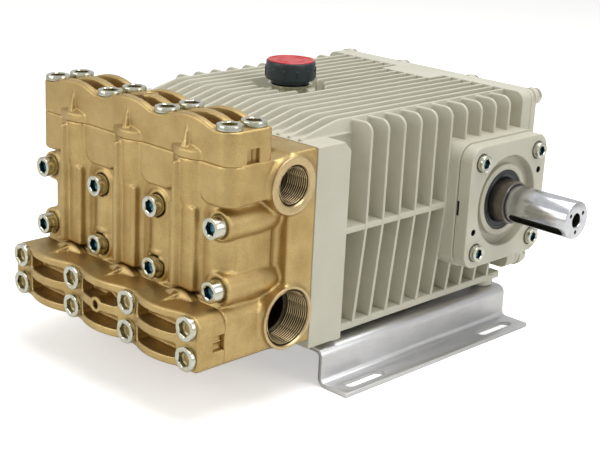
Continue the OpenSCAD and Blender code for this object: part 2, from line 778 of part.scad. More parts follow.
module rear_cover_screws() {
    color(zinc) rear_screw_places() translate([0, rear_face_y + rear_boss_h, 0]) rotate([-90, 0, 0])
        socket_screw(case_screw_d, case_head_d, case_head_h,
                     rear_cover_t + rear_boss_h + rear_flange_t);
}

// Bearing cover on the drive side, before its own details are cut
module bearing_cover_plate() {
    difference() {
        translate([cover_seat_x, shaft_y, shaft_height]) rotate([0, 90, 0])
            linear_extrude(bearing_cover_t)
                round_rect(bearing_cover_w, bearing_cover_w, bearing_corner_r);
        bearing_screw_places(cover_seat_x - over)
            bar_x([0, 0, 0], case_screw_d / 2 + screw_clear, bearing_cover_t + 2 * over);
        // jacking holes on opposite sides of the shaft
        for (s = [-1, 1])
            bar_x([cover_seat_x - over, shaft_y + s * jack_hole_side, shaft_height + s * jack_hole_up],
                  jack_hole_d / 2, bearing_cover_t + 2 * over);
        // pry slot at the edge that faces the manifold
        span([cover_seat_x - over, shaft_y - bearing_cover_w / 2 - over, shaft_height - pry_l / 2],
             [cover_seat_x + pry_w, shaft_y - bearing_cover_w / 2 + pry_d, shaft_height + pry_l / 2]);
    }
}

module drive_bearing_cover() {
    floor_x = cover_face_x - recess_d;
    color(cream) difference() {
        bearing_cover_plate();
        difference() {
            bar_x([floor_x, shaft_y, shaft_height], recess_r, recess_d + over);
            bar_x([floor_x - over, shaft_y, shaft_height], ring_r, ring_h + over);
        }
        bar_x([cover_seat_x - over, shaft_y, shaft_height], seal_r, bearing_cover_t + 2 * over);
    }
}
module blind_bearing_cover() { color(cream) mirror([1, 0, 0]) bearing_cover_plate(); }

module bearing_cover_screws() {
    bearing_screw_places(cover_face_x) rotate([0, 90, 0])
        socket_screw(case_screw_d, case_head_d, case_head_h, bearing_cover_t + case_screw_grip);
}
module drive_cover_screws() { color(zinc) bearing_cover_screws(); }
module blind_cover_screws() { color(zinc) mirror([1, 0, 0]) bearing_cover_screws(); }

module oil_seal() {
    color(black) difference() {
        bar_x([seal_x, shaft_y, shaft_height], seal_r, seal_t);
        bar_x([seal_x - over, shaft_y, shaft_height], journal_r + running_clear, seal_t + 2 * over);
    }
}

module drive_shaft() {
    inner_x = shaft_stop - core_half;
    color(steel) translate([0, shaft_y, shaft_height]) rotate([0, 90, 0]) difference() {
        union() {
            translate([0, 0, inner_x]) cylinder(r = journal_r, h = journal_x - inner_x);
            translate([0, 0, inner_x]) cylinder(r = shaft_r, h = shaft_end_x - inner_x - shaft_chamfer);
            translate([0, 0, shaft_end_x - shaft_chamfer - eps])
                cylinder(r1 = shaft_r, r2 = shaft_r - shaft_chamfer, h = shaft_chamfer + eps);
        }
        // keyway with round ends
        rotate([0, 0, 180 + key_angle])
            translate([0, shaft_r - key_d, journal_x + key_start + key_w / 2]) {
                for (l = [0, key_l - key_w]) translate([0, 0, l]) rotate([-90, 0, 0])
                    cylinder(r = key_w / 2, h = key_d + over);
                translate([-key_w / 2, 0, 0]) cube([key_w, key_d + over, key_l - key_w]);
            }
        translate([0, 0, shaft_end_x - shaft_hole_l]) cylinder(r = shaft_hole_d / 2, h = shaft_hole_l + over);
        for (a = [0, 120, 240]) rotate([0, 0, a]) translate([small_hole_r, 0, shaft_end_x - small_hole_l])
            cylinder(r = small_hole_d / 2, h = small_hole_l + over);
    }
}

module sight_glass_rim() {
    rim_l = rear_cover_t + sight_out;
    color(zinc) difference() {
        bar_y([0, case_rear_y, shaft_height], sight_r, rim_l);
        bar_y([0, case_rear_y - over, shaft_height], window_r, rim_l + 2 * over);
    }
}
module sight_glass_window() { color(glass) bar_y([0, case_rear_y, shaft_height], window_r, rear_cover_t); }

module oil_drain_plug() {
    color(zinc) translate([0, rear_face_y, drain_z]) rotate([-90, 0, 0])
        socket_screw(drain_d, drain_head_d, drain_head_h, rear_cover_t);
}

module filler_neck() {
    shank_r = neck_r - neck_step;
    boss_z = case_top + filler_boss_h;
    color(steel) difference() {
        union() {
            bar_z([filler_x, filler_y, case_top - neck_sunk], shank_r, neck_sunk + filler_boss_h + over);
            bar_z([filler_x, filler_y, boss_z], neck_r, cap_z - boss_z);
        }
        bar_z([filler_x, filler_y, case_top - neck_sunk - over], shank_r - neck_wall,
              neck_sunk + cap_up + 2 * over);
    }
}

module filler_cap() {
    rib_gap = 2;
    color(black) translate([filler_x, filler_y, cap_z]) difference() {
        union() {
            cylinder(r = cap_r, h = cap_h - disc_out);
            for (i = [0:cap_ribs - 1]) rotate([0, 0, i * 360 / cap_ribs])
                bar_z([cap_r - cap_rib_r / 2, 0, rib_gap / 2], cap_rib_r, cap_h - disc_out - rib_gap);
        }
        translate([0, 0, cap_h - disc_t]) cylinder(r = disc_r, h = disc_t);
    }
}
module filler_cap_disc() { color(red) bar_z([filler_x, filler_y, cap_z + cap_h - disc_t], disc_r, disc_t); }

// Quarter bend of the rail sheet around its inner corner, turned about that corner
module rail_bend(turn) {
    rotate(turn) intersection() {
        difference() {
            circle(r = bend_r);
            circle(r = bend_r - rail_t);
        }
        square(bend_r + over);
    }
}

// Rail section: upper flange inwards, web, lower flange outwards
module rail_section() {
    web_in = web_half - rail_t;
    translate([web_half - top_flange_w, rail_h - rail_t]) square([top_flange_w - bend_r, rail_t]);
    translate([web_in, bend_r]) square([rail_t, rail_h - 2 * bend_r]);
    translate([web_in + bend_r, 0]) square([foot_w + rail_t - bend_r, rail_t]);
    translate([web_half - bend_r, rail_h - bend_r]) rail_bend(0);
    translate([web_in + bend_r, bend_r]) rail_bend(180);
}

// Slot with round ends, along local y
module slot_outline() {
    square([slot_w, slot_l - slot_w], center = true);
    for (s = [-0.5, 0.5]) translate([0, s * (slot_l - slot_w)]) circle(r = slot_w / 2);
}

module foot_rail() {
    difference() {
        translate([0, rail_l / 2, 0]) rotate([90, 0, 0]) linear_extrude(rail_l) rail_section();
        for (s = [-0.5, 0.5]) translate([slot_x, s * slot_span, -over])
            linear_extrude(rail_t + 2 * over) slot_outline();
        for (y = foot_boss_ys) bar_z([foot_boss_x, y, rail_h - rail_t - over],
                                     case_screw_d / 2 + screw_clear, rail_t + 2 * over);
    }
}
module right_foot_rail() { color(steel) foot_rail(); }
module left_foot_rail() { color(steel) mirror([1, 0, 0]) foot_rail(); }

module rail_screws() {
    for (y = foot_boss_ys) translate([foot_boss_x, y, rail_h - rail_t]) rotate([180, 0, 0])
        socket_screw(case_screw_d, case_head_d, case_head_h, rail_t + case_screw_grip);
}
module right_rail_screws() { color(zinc) rail_screws(); }
module left_rail_screws() { color(zinc) mirror([1, 0, 0]) rail_screws(); }

manifold_body();
delivery_valve_cover();
suction_valve_cover();
delivery_cover_screws();
suction_cover_screws();
manifold_screws();
outlet_plug();
inlet_plug();
outlet_plug_washer();
inlet_plug_washer();
crankcase();
rear_cover();
rear_cover_screws();
drive_bearing_cover();
blind_bearing_cover();
drive_cover_screws();
blind_cover_screws();
oil_seal();
drive_shaft();
sight_glass_rim();
sight_glass_window();
oil_drain_plug();
filler_neck();
filler_cap();
filler_cap_disc();
right_foot_rail();
left_foot_rail();
right_rail_screws();
left_rail_screws();
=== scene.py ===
"""Looks of a three-plunger high-pressure pump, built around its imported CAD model.

Sizes are millimetres in the row's frame: +X along the drive shaft, +Y away from the brass
manifold, +Z up, with the floor at Z = 0. The brass castings are drawn as signed distances on a
grid, so that every edge and corner gets the fillet a foundry gives it. All other pieces are
outlines that are turned, drawn out or stacked, with small rounded edges.
"""

from __future__ import annotations

import logging
import math
from dataclasses import dataclass, field
from enum import Enum
from itertools import product
from typing import Any, Callable, Iterable, Sequence

import bpy
import numpy as np
from mathutils import Matrix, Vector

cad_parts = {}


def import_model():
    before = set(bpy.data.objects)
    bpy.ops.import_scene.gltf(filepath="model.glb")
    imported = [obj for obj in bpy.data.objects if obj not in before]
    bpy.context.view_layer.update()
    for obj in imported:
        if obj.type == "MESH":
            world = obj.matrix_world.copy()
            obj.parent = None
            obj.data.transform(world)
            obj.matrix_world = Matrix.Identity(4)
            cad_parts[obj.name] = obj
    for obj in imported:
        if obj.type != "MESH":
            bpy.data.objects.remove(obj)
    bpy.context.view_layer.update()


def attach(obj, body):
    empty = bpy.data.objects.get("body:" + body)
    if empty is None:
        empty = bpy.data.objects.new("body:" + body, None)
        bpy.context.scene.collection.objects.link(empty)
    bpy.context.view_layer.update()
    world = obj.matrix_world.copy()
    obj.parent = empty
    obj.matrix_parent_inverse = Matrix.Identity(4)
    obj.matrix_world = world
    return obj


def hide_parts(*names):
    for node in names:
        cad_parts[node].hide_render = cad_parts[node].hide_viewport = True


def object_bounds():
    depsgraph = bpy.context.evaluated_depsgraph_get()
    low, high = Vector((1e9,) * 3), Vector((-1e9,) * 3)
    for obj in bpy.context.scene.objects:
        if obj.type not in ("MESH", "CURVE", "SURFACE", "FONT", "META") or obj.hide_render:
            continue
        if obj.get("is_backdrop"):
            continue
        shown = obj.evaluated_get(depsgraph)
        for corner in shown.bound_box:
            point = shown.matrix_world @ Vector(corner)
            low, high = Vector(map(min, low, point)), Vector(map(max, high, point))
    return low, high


LOG = logging.getLogger("plunger_pump")
MM = 0.001
# How much of a finish's change of colour comes from its fine grain; the rest comes from its clouds.
GRAIN_SHARE = 0.45
HOUSING = "pump_housing"
CRANKSHAFT = "crankshaft"

Array = np.ndarray
Vec3 = tuple[float, float, float]
MeshData = tuple[Array, list[Sequence[int]]]
Distance = Callable[[Array, Array, Array], Array]
Outline = Callable[[Array, Array], Array]


class Axis(Enum):
    """A direction of the row's frame, as its place in a coordinate triple."""

    X = 0
    Y = 1
    Z = 2


class Facing(Enum):
    """Where the local +Z of a turned piece points; each value is its rotation matrix."""

    RIGHT = ((0, 0, 1), (1, 0, 0), (0, 1, 0))
    LEFT = ((0, 0, -1), (-1, 0, 0), (0, 1, 0))
    FRONT = ((1, 0, 0), (0, 0, -1), (0, 1, 0))
    BACK = ((0, 1, 0), (0, 0, 1), (1, 0, 0))
    UP = ((1, 0, 0), (0, 1, 0), (0, 0, 1))
    DOWN = ((1, 0, 0), (0, -1, 0), (0, 0, -1))


# Signed distances


@dataclass(frozen=True)
class Shape:
    """A solid as its bounds and its signed distance, negative inside, in millimetres."""

    lo: Vec3
    hi: Vec3
    distance: Distance


def smooth_min(a: Array, b: Array, blend: float) -> Array:
    """Joins two distances with a fillet.

    Args:
        a: First distance.
        b: Second distance.
        blend: Reach of the fillet in millimetres, 0 for a sharp corner.

    Returns:
        The distance of the joined solids.
    """
    lower = np.minimum(a, b)
    if blend <= 0:
        return lower
    near = np.maximum(blend - np.abs(a - b), 0) / blend
    return lower - near * near * (blend / 4)


def rounded(a: Array, b: Array, radius: float) -> Array:
    """Crosses two distances and rounds the edge where they meet.

    Args:
        a: Distance to the first face.
        b: Distance to the second face.
        radius: Radius of the edge.

    Returns:
        The distance of the part that both hold.
    """
    a, b = a + radius, b + radius
    outside = np.hypot(np.maximum(a, 0), np.maximum(b, 0))
    return outside + np.minimum(np.maximum(a, b), 0) - radius


def slab(lo: Vec3, hi: Vec3, radius: float = 1.5) -> Shape:
    """A block with rounded edges.

    Args:
        lo: Lowest corner.
        hi: Highest corner.
        radius: Edge radius.

    Returns:
        The block.
    """
    middle = [(a + b) / 2 for a, b in zip(lo, hi)]
    half = [(b - a) / 2 - radius for a, b in zip(lo, hi)]

    def distance(x: Array, y: Array, z: Array) -> Array:
        """Signed distance to the block."""
        qx, qy, qz = (np.abs(v - c) - h for v, c, h in zip((x, y, z), middle, half))
        out = np.maximum(qx, 0) ** 2 + np.maximum(qy, 0) ** 2 + np.maximum(qz, 0) ** 2
        return np.sqrt(out) + np.minimum(np.maximum(np.maximum(qx, qy), qz), 0) - radius

    return Shape(lo, hi, distance)


def prism(axis: Axis, outline: Outline, lo: Vec3, hi: Vec3, radius: float = 1.0) -> Shape:
    """An outline drawn out along one axis, with rounded edges at both ends.

    Args:
        axis: Axis along which it is drawn out.
        outline: Distance in the plane of the two other axes, taken in X, Y, Z order.
        lo: Lowest corner of its bounds.
        hi: Highest corner of its bounds.
        radius: Radius of the end edges.

    Returns:
        The prism.
    """
    a = axis.value
    middle, half = (lo[a] + hi[a]) / 2, (hi[a] - lo[a]) / 2

    def distance(x: Array, y: Array, z: Array) -> Array:
        """Signed distance to the prism."""
        coords = [x, y, z]
        along = coords.pop(a)
        return rounded(outline(*coords), np.abs(along - middle) - half, radius)

    return Shape(lo, hi, distance)


def bar(axis: Axis, at: Vec3, radius: float, length: float, edge: float = 1.0, draft: float = 0.0) -> Shape:
    """A round bar along one axis.

    Args:
        axis: Axis of the bar.
        at: Start point on the axis.
        radius: Radius at the start.
        length: Length.
        edge: Radius of the end edges.
        draft: How much the radius shrinks per millimetre of length.

    Returns:
        The bar.
    """
    a = axis.value
    centre = [v for i, v in enumerate(at) if i != a]
    lo = [v - radius for v in at]
    hi = [v + radius for v in at]
    lo[a], hi[a] = at[a], at[a] + length

    def distance(x: Array, y: Array, z: Array) -> Array:
        """Signed distance to the bar."""
        coords = [x, y, z]
        along = coords.pop(a)
        across = np.hypot(coords[0] - centre[0], coords[1] - centre[1])
        side = across - radius + draft * (along - at[a])
        return rounded(side, np.abs(along - at[a] - length / 2) - length / 2, edge)

    return Shape(tuple(lo), tuple(hi), distance)


def rectangle(centre: tuple[float, float], size: tuple[float, float], low_r: float, high_r: float) -> Outline:
    """A rectangle with one corner radius on its low side and one on its high side.

    Args:
        centre: Its middle.
        size: Its two sides.
        low_r: Radius of the corners on the low side of the second axis.
        high_r: Radius of the corners on the high side of the second axis.

    Returns:
        The outline's distance.
    """

    def outline(u: Array, v: Array) -> Array:
        """Signed distance to the rectangle."""
        r = np.where(v < centre[1], low_r, high_r)
        qu = np.abs(u - centre[0]) - size[0] / 2 + r
        qv = np.abs(v - centre[1]) - size[1] / 2 + r
        return np.hypot(np.maximum(qu, 0), np.maximum(qv, 0)) + np.minimum(np.maximum(qu, qv), 0) - r

    return outline


def graded(*runs: tuple[float, float, float]) -> Array:
    """Grid lines that follow runs of different steps.

    Args:
        *runs: Start, end and step of each run, each starting where the last one ended.

    Returns:
        The grid lines in millimetres.
    """
    lines = []
    for start, end, step in runs:
        count = max(1, round((end - start) / step))
        lines.append(np.linspace(start, end, count + 1)[:-1])
    return np.append(np.concatenate(lines), runs[-1][1])


class Casting:
    """A casting drawn as signed distances on a grid of lines that may lie unevenly."""

    FAR = 40.0

    def __init__(self, xs: Array, ys: Array, zs: Array) -> None:
        """Starts an empty grid.

        Args:
            xs: Grid lines along X.
            ys: Grid lines along Y.
            zs: Grid lines along Z.
        """
        self.lines = (xs, ys, zs)
        self.values = np.full([len(v) for v in self.lines], self.FAR, np.float32)

    def _window(self, shape: Shape, margin: float) -> tuple[tuple[slice, ...], list[Array]] | None:
        """Finds the part of the grid that a shape can change.

        Args:
            shape: The shape.
            margin: Reach beyond its bounds.

        Returns:
            The slices and the open coordinate grids there, or None outside the grid.
        """
        cuts = []
        for lines, lo, hi in zip(self.lines, shape.lo, shape.hi):
            first = max(int(np.searchsorted(lines, lo - margin)) - 1, 0)
            last = min(int(np.searchsorted(lines, hi + margin)) + 1, len(lines))
            if last - first < 2:
                return None
            cuts.append(slice(first, last))
        grids = np.meshgrid(*[v[c] for v, c in zip(self.lines, cuts)], indexing="ij", sparse=True)
        return tuple(cuts), grids

    def add(self, shape: Shape, blend: float = 2.0) -> None:
        """Joins a shape to the casting with a fillet of the given reach."""
        found = self._window(shape, blend + 8)
        if found:
            cuts, grids = found
            self.values[cuts] = smooth_min(self.values[cuts], shape.distance(*grids), blend)

    def cut(self, shape: Shape, blend: float = 1.0) -> None:
        """Takes a shape away and rounds the edge that this leaves."""
        found = self._window(shape, blend + 8)
        if found:
            cuts, grids = found
            self.values[cuts] = -smooth_min(-self.values[cuts], shape.distance(*grids), blend)

    def surface(self, keep: Callable[[Array], Array] | None = None) -> MeshData:
        """Meshes the surface where the distance is zero.

        Args:
            keep: Test on quad centres that drops faces hidden inside the pump.

        Returns:
            Vertices in millimetres and quads that face outwards.
        """
        inside = self.values < 0
        cells = self._crossed(inside)
        verts, faces = self._middles(cells), self._quads(inside, cells)
        if keep is not None:
            faces = faces[keep(verts[faces].mean(axis=1))]
        used = np.unique(faces)
        lookup = np.zeros(len(verts), np.int64)
        lookup[used] = np.arange(len(used))
        return verts[used], lookup[faces].tolist()

    def _crossed(self, inside: Array) -> Array:
        """Finds the cells of the grid that the surface passes through.

        Args:
            inside: True for each grid point inside the casting.

        Returns:
            The cells' places in the grid.
        """
        x, y, z = (n - 1 for n in inside.shape)
        count = np.zeros((x, y, z), np.int8)
        for i, j, k in product((0, 1), repeat=3):
            count += inside[i:x + i, j:y + j, k:z + k]
        return np.argwhere((count > 0) & (count < 8))

    def _middles(self, cells: Array) -> Array:
        """Puts a vertex into each cell, amid the points where the cell's edges cross the surface.

        Args:
            cells: The cells.

        Returns:
            The vertices in millimetres.
        """
        total, hits = np.zeros((len(cells), 3)), np.zeros((len(cells), 1))
        for a, m, n in product(range(3), (0, 1), (0, 1)):
            others = [b for b in range(3) if b != a]
            near = cells.copy()
            near[:, others[0]] += m
            near[:, others[1]] += n
            far = near.copy()
            far[:, a] += 1
            va, vb = self.values[tuple(near.T)], self.values[tuple(far.T)]
            crossed = (va < 0) != (vb < 0)
            share = va[crossed] / (va[crossed] - vb[crossed])
            point = np.stack([self.lines[b][near[crossed, b]] for b in range(3)], axis=1)
            point[:, a] += share * (self.lines[a][far[crossed, a]] - point[:, a])
            total[crossed] += point
            hits[crossed] += 1
        return total / hits

    def _quads(self, inside: Array, cells: Array) -> Array:
        """Joins the vertices of the four cells around each grid edge that crosses the surface.

        Args:
            inside: True for each grid point inside the casting.
            cells: The cells that hold a vertex.

        Returns:
            The quads, facing outwards.
        """
        number = np.full([n - 1 for n in inside.shape], -1, np.int64)
        number[tuple(cells.T)] = np.arange(len(cells))
        quads = []
        for a in range(3):
            b, c = (a + 1) % 3, (a + 2) % 3
            head = [slice(None)] * 3
            tail = [slice(None)] * 3
            head[a], tail[a] = slice(0, -1), slice(1, None)
            for d in (b, c):
                head[d] = tail[d] = slice(1, -1)
            first, second = inside[tuple(head)], inside[tuple(tail)]
            edges = np.argwhere(first != second)
            edges[:, b] += 1
            edges[:, c] += 1
            corners = []
            for db, dc in ((-1, -1), (0, -1), (0, 0), (-1, 0)):
                cell = edges.copy()
                cell[:, b] += db
                cell[:, c] += dc
                corners.append(number[tuple(cell.T)])
            quad = np.stack(corners, axis=1)
            outward = first[first != second]
            quad[~outward] = quad[~outward][:, ::-1]
            quads.append(quad)
        return np.concatenate(quads)


# Turned and cut meshes


def turned(profile: Sequence[tuple[float, float]], segments: int = 72, facing: Facing = Facing.UP,
           at: Vec3 = (0, 0, 0)) -> MeshData:
    """Turns a profile about the local Z axis.

    Args:
        profile: Radius and height of each point, from the bottom outwards and up.
        segments: Steps of one turn.
        facing: Where the local Z axis points.
        at: Where the local origin lies.

    Returns:
        The turned surface.
    """
    rings = [ring(segments, r, z) for r, z in profile]
    return stacked(rings, facing, at)


def ring(segments: int, radius: float, height: float, hexagon: float = 0.0) -> Array:
    """One ring of points about the local Z axis.

    Args:
        segments: Number of points.
        radius: Radius of the ring, or the most that a hexagon may reach.
        height: Height of the ring.
        hexagon: Width across flats, or 0 for a circle.

    Returns:
        The points.
    """
    angle = np.arange(segments) * 2 * math.pi / segments
    r = np.full(segments, radius)
    if hexagon:
        flat = (angle + math.pi / 6) % (math.pi / 3) - math.pi / 6
        r = np.minimum(r, hexagon / 2 / np.cos(flat))
    return np.stack([r * np.cos(angle), r * np.sin(angle), np.full(segments, height)], axis=1)


def stacked(rings: Sequence[Array], facing: Facing = Facing.UP, at: Vec3 = (0, 0, 0)) -> MeshData:
    """Joins rings of equal length into one surface and closes both ends.

    Args:
        rings: The rings, each closed.
        facing: Where the local Z axis points.
        at: Where the local origin lies.

    Returns:
        The surface.
    """
    n = len(rings[0])
    verts = np.concatenate(list(rings))
    faces: list[Sequence[int]] = []
    for level in range(len(rings) - 1):
        low, high = level * n, (level + 1) * n
        faces += [(low + i, low + (i + 1) % n, high + (i + 1) % n, high + i) for i in range(n)]
    faces.append(tuple(range(n - 1, -1, -1)))
    faces.append(tuple((len(rings) - 1) * n + i for i in range(n)))
    return verts @ np.array(facing.value, float).T + np.array(at), faces


def open_ended(data: MeshData) -> MeshData:
    """Leaves out the two end faces that stacked() makes."""
    return data[0], data[1][:-2]


def looped(rings: Sequence[Array], facing: Facing = Facing.UP, at: Vec3 = (0, 0, 0)) -> MeshData:
    """Joins rings into one surface that closes on itself, such as a washer.

    Args:
        rings: The rings; the last one joins the first.
        facing: Where the local Z axis points.
        at: Where the local origin lies.

    Returns:
        The surface.
    """
    verts, faces = open_ended(stacked(rings, facing, at))
    n, last = len(rings[0]), (len(rings) - 1) * len(rings[0])
    return verts, faces + [(last + i, last + (i + 1) % n, (i + 1) % n, i) for i in range(n)]


def turned_loop(profile: Sequence[tuple[float, float]], segments: int = 72, facing: Facing = Facing.UP,
                at: Vec3 = (0, 0, 0)) -> MeshData:
    """Turns a closed profile about the local Z axis."""
    return looped([ring(segments, r, z) for r, z in profile], facing, at)


def merged(parts: Iterable[MeshData]) -> MeshData:
    """Puts several meshes into one.

    Args:
        parts: The meshes.

    Returns:
        One mesh with all of them.
    """
    verts, faces, offset = [], [], 0
    for v, f in parts:
        verts.append(v)
        faces += [tuple(i + offset for i in face) for face in f]
        offset += len(v)
    return np.concatenate(verts), faces


def used_only(verts: Array, faces: list[Sequence[int]]) -> MeshData:
    """Leaves out the vertices that no face uses.

    Args:
        verts: All vertices.
        faces: The faces that stay.

    Returns:
        The smaller mesh.
    """
    used = sorted({i for face in faces for i in face})
    place = {old: new for new, old in enumerate(used)}
    return verts[used], [tuple(place[i] for i in face) for face in faces]


def parted(data: MeshData, taken: Callable[[Array], Array]) -> tuple[MeshData, MeshData]:
    """Splits a mesh by a test on the middles of its faces.

    Args:
        data: The mesh.
        taken: Test that says which faces go into the second mesh.

    Returns:
        The faces that stay, and those that were taken.
    """
    verts, faces = data
    chosen = taken(np.array([verts[list(face)].mean(axis=0) for face in faces]))
    stay, go = ([face for face, hit in zip(faces, chosen) if hit == want] for want in (False, True))
    return used_only(verts, stay), used_only(verts, go)


def mirrored(data: MeshData) -> MeshData:
    """Mirrors a mesh to the other side of the middle plane."""
    verts, faces = data
    return verts * np.array([-1, 1, 1]), [tuple(reversed(f)) for f in faces]


@dataclass(frozen=True)
class SocketHead:
    """Head of a socket screw, with its seat at the local origin."""

    diameter: float
    height: float
    flats: float
    depth: float
    chamfer: float = 0.8
    segments: int = 48

    def _placed(self, rings: Sequence[Array], facing: Facing, at: Vec3, turn: float) -> MeshData:
        """Turns rings about the screw's axis and joins them.

        Args:
            rings: The rings.
            facing: Where the head points.
            at: Middle of its seat.
            turn: How far the hexagon is turned, in degrees.

        Returns:
            The surface without its two end faces.
        """
        c, s = math.cos(math.radians(turn)), math.sin(math.radians(turn))
        matrix = np.array([[c, -s, 0], [s, c, 0], [0, 0, 1]])
        return open_ended(stacked([v @ matrix.T for v in rings], facing, at))

    def mesh(self, facing: Facing, at: Vec3, turn: float = 0.0) -> MeshData:
        """Builds the head down to the mouth of its socket.

        Args:
            facing: Where the head points.
            at: Middle of its seat.
            turn: How far the hexagon is turned, in degrees.

        Returns:
            The head's surface.
        """
        n, r, h, c = self.segments, self.diameter / 2, self.height, self.chamfer
        mouth = self.flats / math.sqrt(3) + 0.35
        rings = [ring(n, r - 0.3, 0), ring(n, r, 0.3), ring(n, r, h - c), ring(n, r - 0.3 * c, h - 0.3 * c),
                 ring(n, r - c, h), ring(n, mouth, h), ring(n, self.flats, h - 0.6, self.flats)]
        return self._placed(rings, facing, at, turn)

    def socket(self, facing: Facing, at: Vec3, turn: float = 0.0) -> MeshData:
        """Builds the hexagon socket.

        Args:
            facing: Where the head points.
            at: Middle of its seat.
            turn: How far the hexagon is turned, in degrees.

        Returns:
            The walls and the floor of the socket.
        """
        n, h, flats = self.segments, self.height, self.flats
        rings = [ring(n, flats, h - 0.6, flats), ring(n, flats, h - self.depth, flats),
                 ring(n, flats * 0.44, h - self.depth - 0.3), ring(n, 0.2, h - self.depth - flats * 0.2)]
        return self._placed(rings, facing, at, turn)


# Finishes


def linear(hex_value: str) -> tuple[float, float, float, float]:
    """Turns an sRGB hex colour into linear RGBA."""
    channels = [int(hex_value.lstrip("#")[i:i + 2], 16) / 255 for i in (0, 2, 4)]
    return (*(c / 12.92 if c <= 0.04045 else ((c + 0.055) / 1.055) ** 2.4 for c in channels), 1.0)


def put(tree: bpy.types.NodeTree, kind: str, settings: dict[str, Any] | None = None,
        **inputs: Any) -> bpy.types.Node:
    """Adds a node with its settings and links.

    Args:
        tree: Node tree that gets the node.
        kind: Node type.
        settings: Properties of the node.
        **inputs: Socket values or links, by socket name with _ for a space, or by in0, in1.

    Returns:
        The node.
    """
    node = tree.nodes.new(kind)
    for name, value in (settings or {}).items():
        setattr(node, name, value)
    for key, value in inputs.items():
        numbered = key.startswith("in") and key[2:].isdigit()
        socket = node.inputs[int(key[2:]) if numbered else key.replace("_", " ")]
        if isinstance(value, bpy.types.NodeSocket):
            tree.links.new(value, socket)
        else:
            socket.default_value = value
    return node


@dataclass(frozen=True)
class Finish:
    """A finish: what the piece is made of and how its surface was made."""

    name: str
    slot: str
    colour: str
    second: str
    metallic: float
    roughness: float
    spread: float = 0.08
    patch_mm: float = 18.0
    grain_mm: float = 0.8
    grain_depth_mm: float = 0.05
    stretch: Vec3 = (1.0, 1.0, 1.0)
    ripple_mm: float = 0.0
    ripple_depth_mm: float = 0.0
    coat: float = 0.0
    coat_roughness: float = 0.1
    ior: float = 1.5

    def material(self) -> bpy.types.Material:
        """Builds the material, or returns it if it is there already.

        Returns:
            The material.
        """
        found = bpy.data.materials.get(self.name)
        if found:
            return found
        made = bpy.data.materials.new(self.name)
        made.use_nodes = True
        tree = made.node_tree
        tree.nodes.clear()
        where = put(tree, "ShaderNodeTexCoord").outputs["Object"]
        patches = put(tree, "ShaderNodeTexNoise", Vector=where, Scale=1000 / self.patch_mm, Detail=4.0,
                      Roughness=0.6).outputs["Fac"]
        grained = put(tree, "ShaderNodeMapping", Vector=where, Scale=self.stretch).outputs["Vector"]
        grain = put(tree, "ShaderNodeTexNoise", Vector=grained, Scale=1000 / self.grain_mm, Detail=2.0,
                    Roughness=0.65).outputs["Fac"]
        clouds = put(tree, "ShaderNodeMath", {"operation": "MULTIPLY"}, in0=patches, in1=1 - GRAIN_SHARE)
        blended = put(tree, "ShaderNodeMath", {"operation": "MULTIPLY_ADD"}, in0=grain, in1=GRAIN_SHARE,
                      in2=clouds.outputs[0])
        mix = put(tree, "ShaderNodeMapRange", Value=blended.outputs[0], From_Min=0.36, From_Max=0.64)
        colour = put(tree, "ShaderNodeMix", {"data_type": "RGBA"}, in0=mix.outputs[0],
                     in6=linear(self.colour), in7=linear(self.second)).outputs[2]
        rough = put(tree, "ShaderNodeMapRange", Value=blended.outputs[0], From_Min=0.3, From_Max=0.7,
                    To_Min=self.roughness - self.spread / 2, To_Max=self.roughness + self.spread / 2)
        bump = put(tree, "ShaderNodeBump", Height=grain, Strength=1.0, Distance=self.grain_depth_mm * MM)
        if self.ripple_depth_mm:
            waves = put(tree, "ShaderNodeTexNoise", Vector=where, Scale=1000 / self.ripple_mm, Detail=1.0)
            bump = put(tree, "ShaderNodeBump", Height=waves.outputs["Fac"], Strength=1.0,
                       Distance=self.ripple_depth_mm * MM, Normal=bump.outputs[0])
        shader = put(tree, "ShaderNodeBsdfPrincipled", Base_Color=colour, Metallic=self.metallic,
                     Roughness=rough.outputs[0], IOR=self.ior, Normal=bump.outputs[0],
                     Coat_Weight=self.coat, Coat_Roughness=self.coat_roughness)
        put(tree, "ShaderNodeOutputMaterial", Surface=shader.outputs[0])
        return made


# Bead-blasted sand-cast brass: a satin pale gold skin with sandy grain and faint darker clouds.
CAST_BRASS = Finish("Bead-blasted cast brass", "cast_brass", "#C4AB76", "#A98F5D", 1.0, 0.43, 0.12,
                    patch_mm=26, grain_mm=0.9, grain_depth_mm=0.14, ripple_mm=9, ripple_depth_mm=0.10)
# Faced brass: paler, with fine turning marks around the bores.
MACHINED_BRASS = Finish("Machined brass", "cast_brass", "#CAB48A", "#B8A178", 1.0, 0.36, 0.08,
                        patch_mm=8, grain_mm=0.7, grain_depth_mm=0.02)
# Brass in a bore and in the thread roots, darkened with painted shade.
BORE_SHADE_BRASS = Finish("Oiled brass", "cast_brass", "#4A4332", "#373226", 1.0, 0.40, 0.10,
                     patch_mm=5, grain_mm=0.7, grain_depth_mm=0.02)
# Cream enamel sprayed over cast aluminium: even satin colour, slight orange peel and casting grain.
CREAM_ENAMEL = Finish("Cream enamel on cast aluminium", "cream_paint", "#C3C0AF", "#BAB7A5", 0.0, 0.42, 0.08,
                      patch_mm=40, grain_mm=1.0, grain_depth_mm=0.05, ripple_mm=5, ripple_depth_mm=0.05,
                      coat=0.15, coat_roughness=0.25)
# Zinc plating over steel: bright silver with a faint yellow tint from the passivation.
ZINC_PLATE = Finish("Zinc plated steel", "zinc_steel", "#CDD0CF", "#B9B592", 1.0, 0.20, 0.10,
                    patch_mm=6, grain_mm=0.6, grain_depth_mm=0.015)
# Inside of a socket: blue-green painted shade, darker than the zinc head.
SOCKET_SHADE = Finish("Blue passivated socket", "zinc_steel", "#5F868F", "#2C464E", 1.0, 0.30, 0.12,
                      patch_mm=3, grain_mm=0.6, grain_depth_mm=0.02)
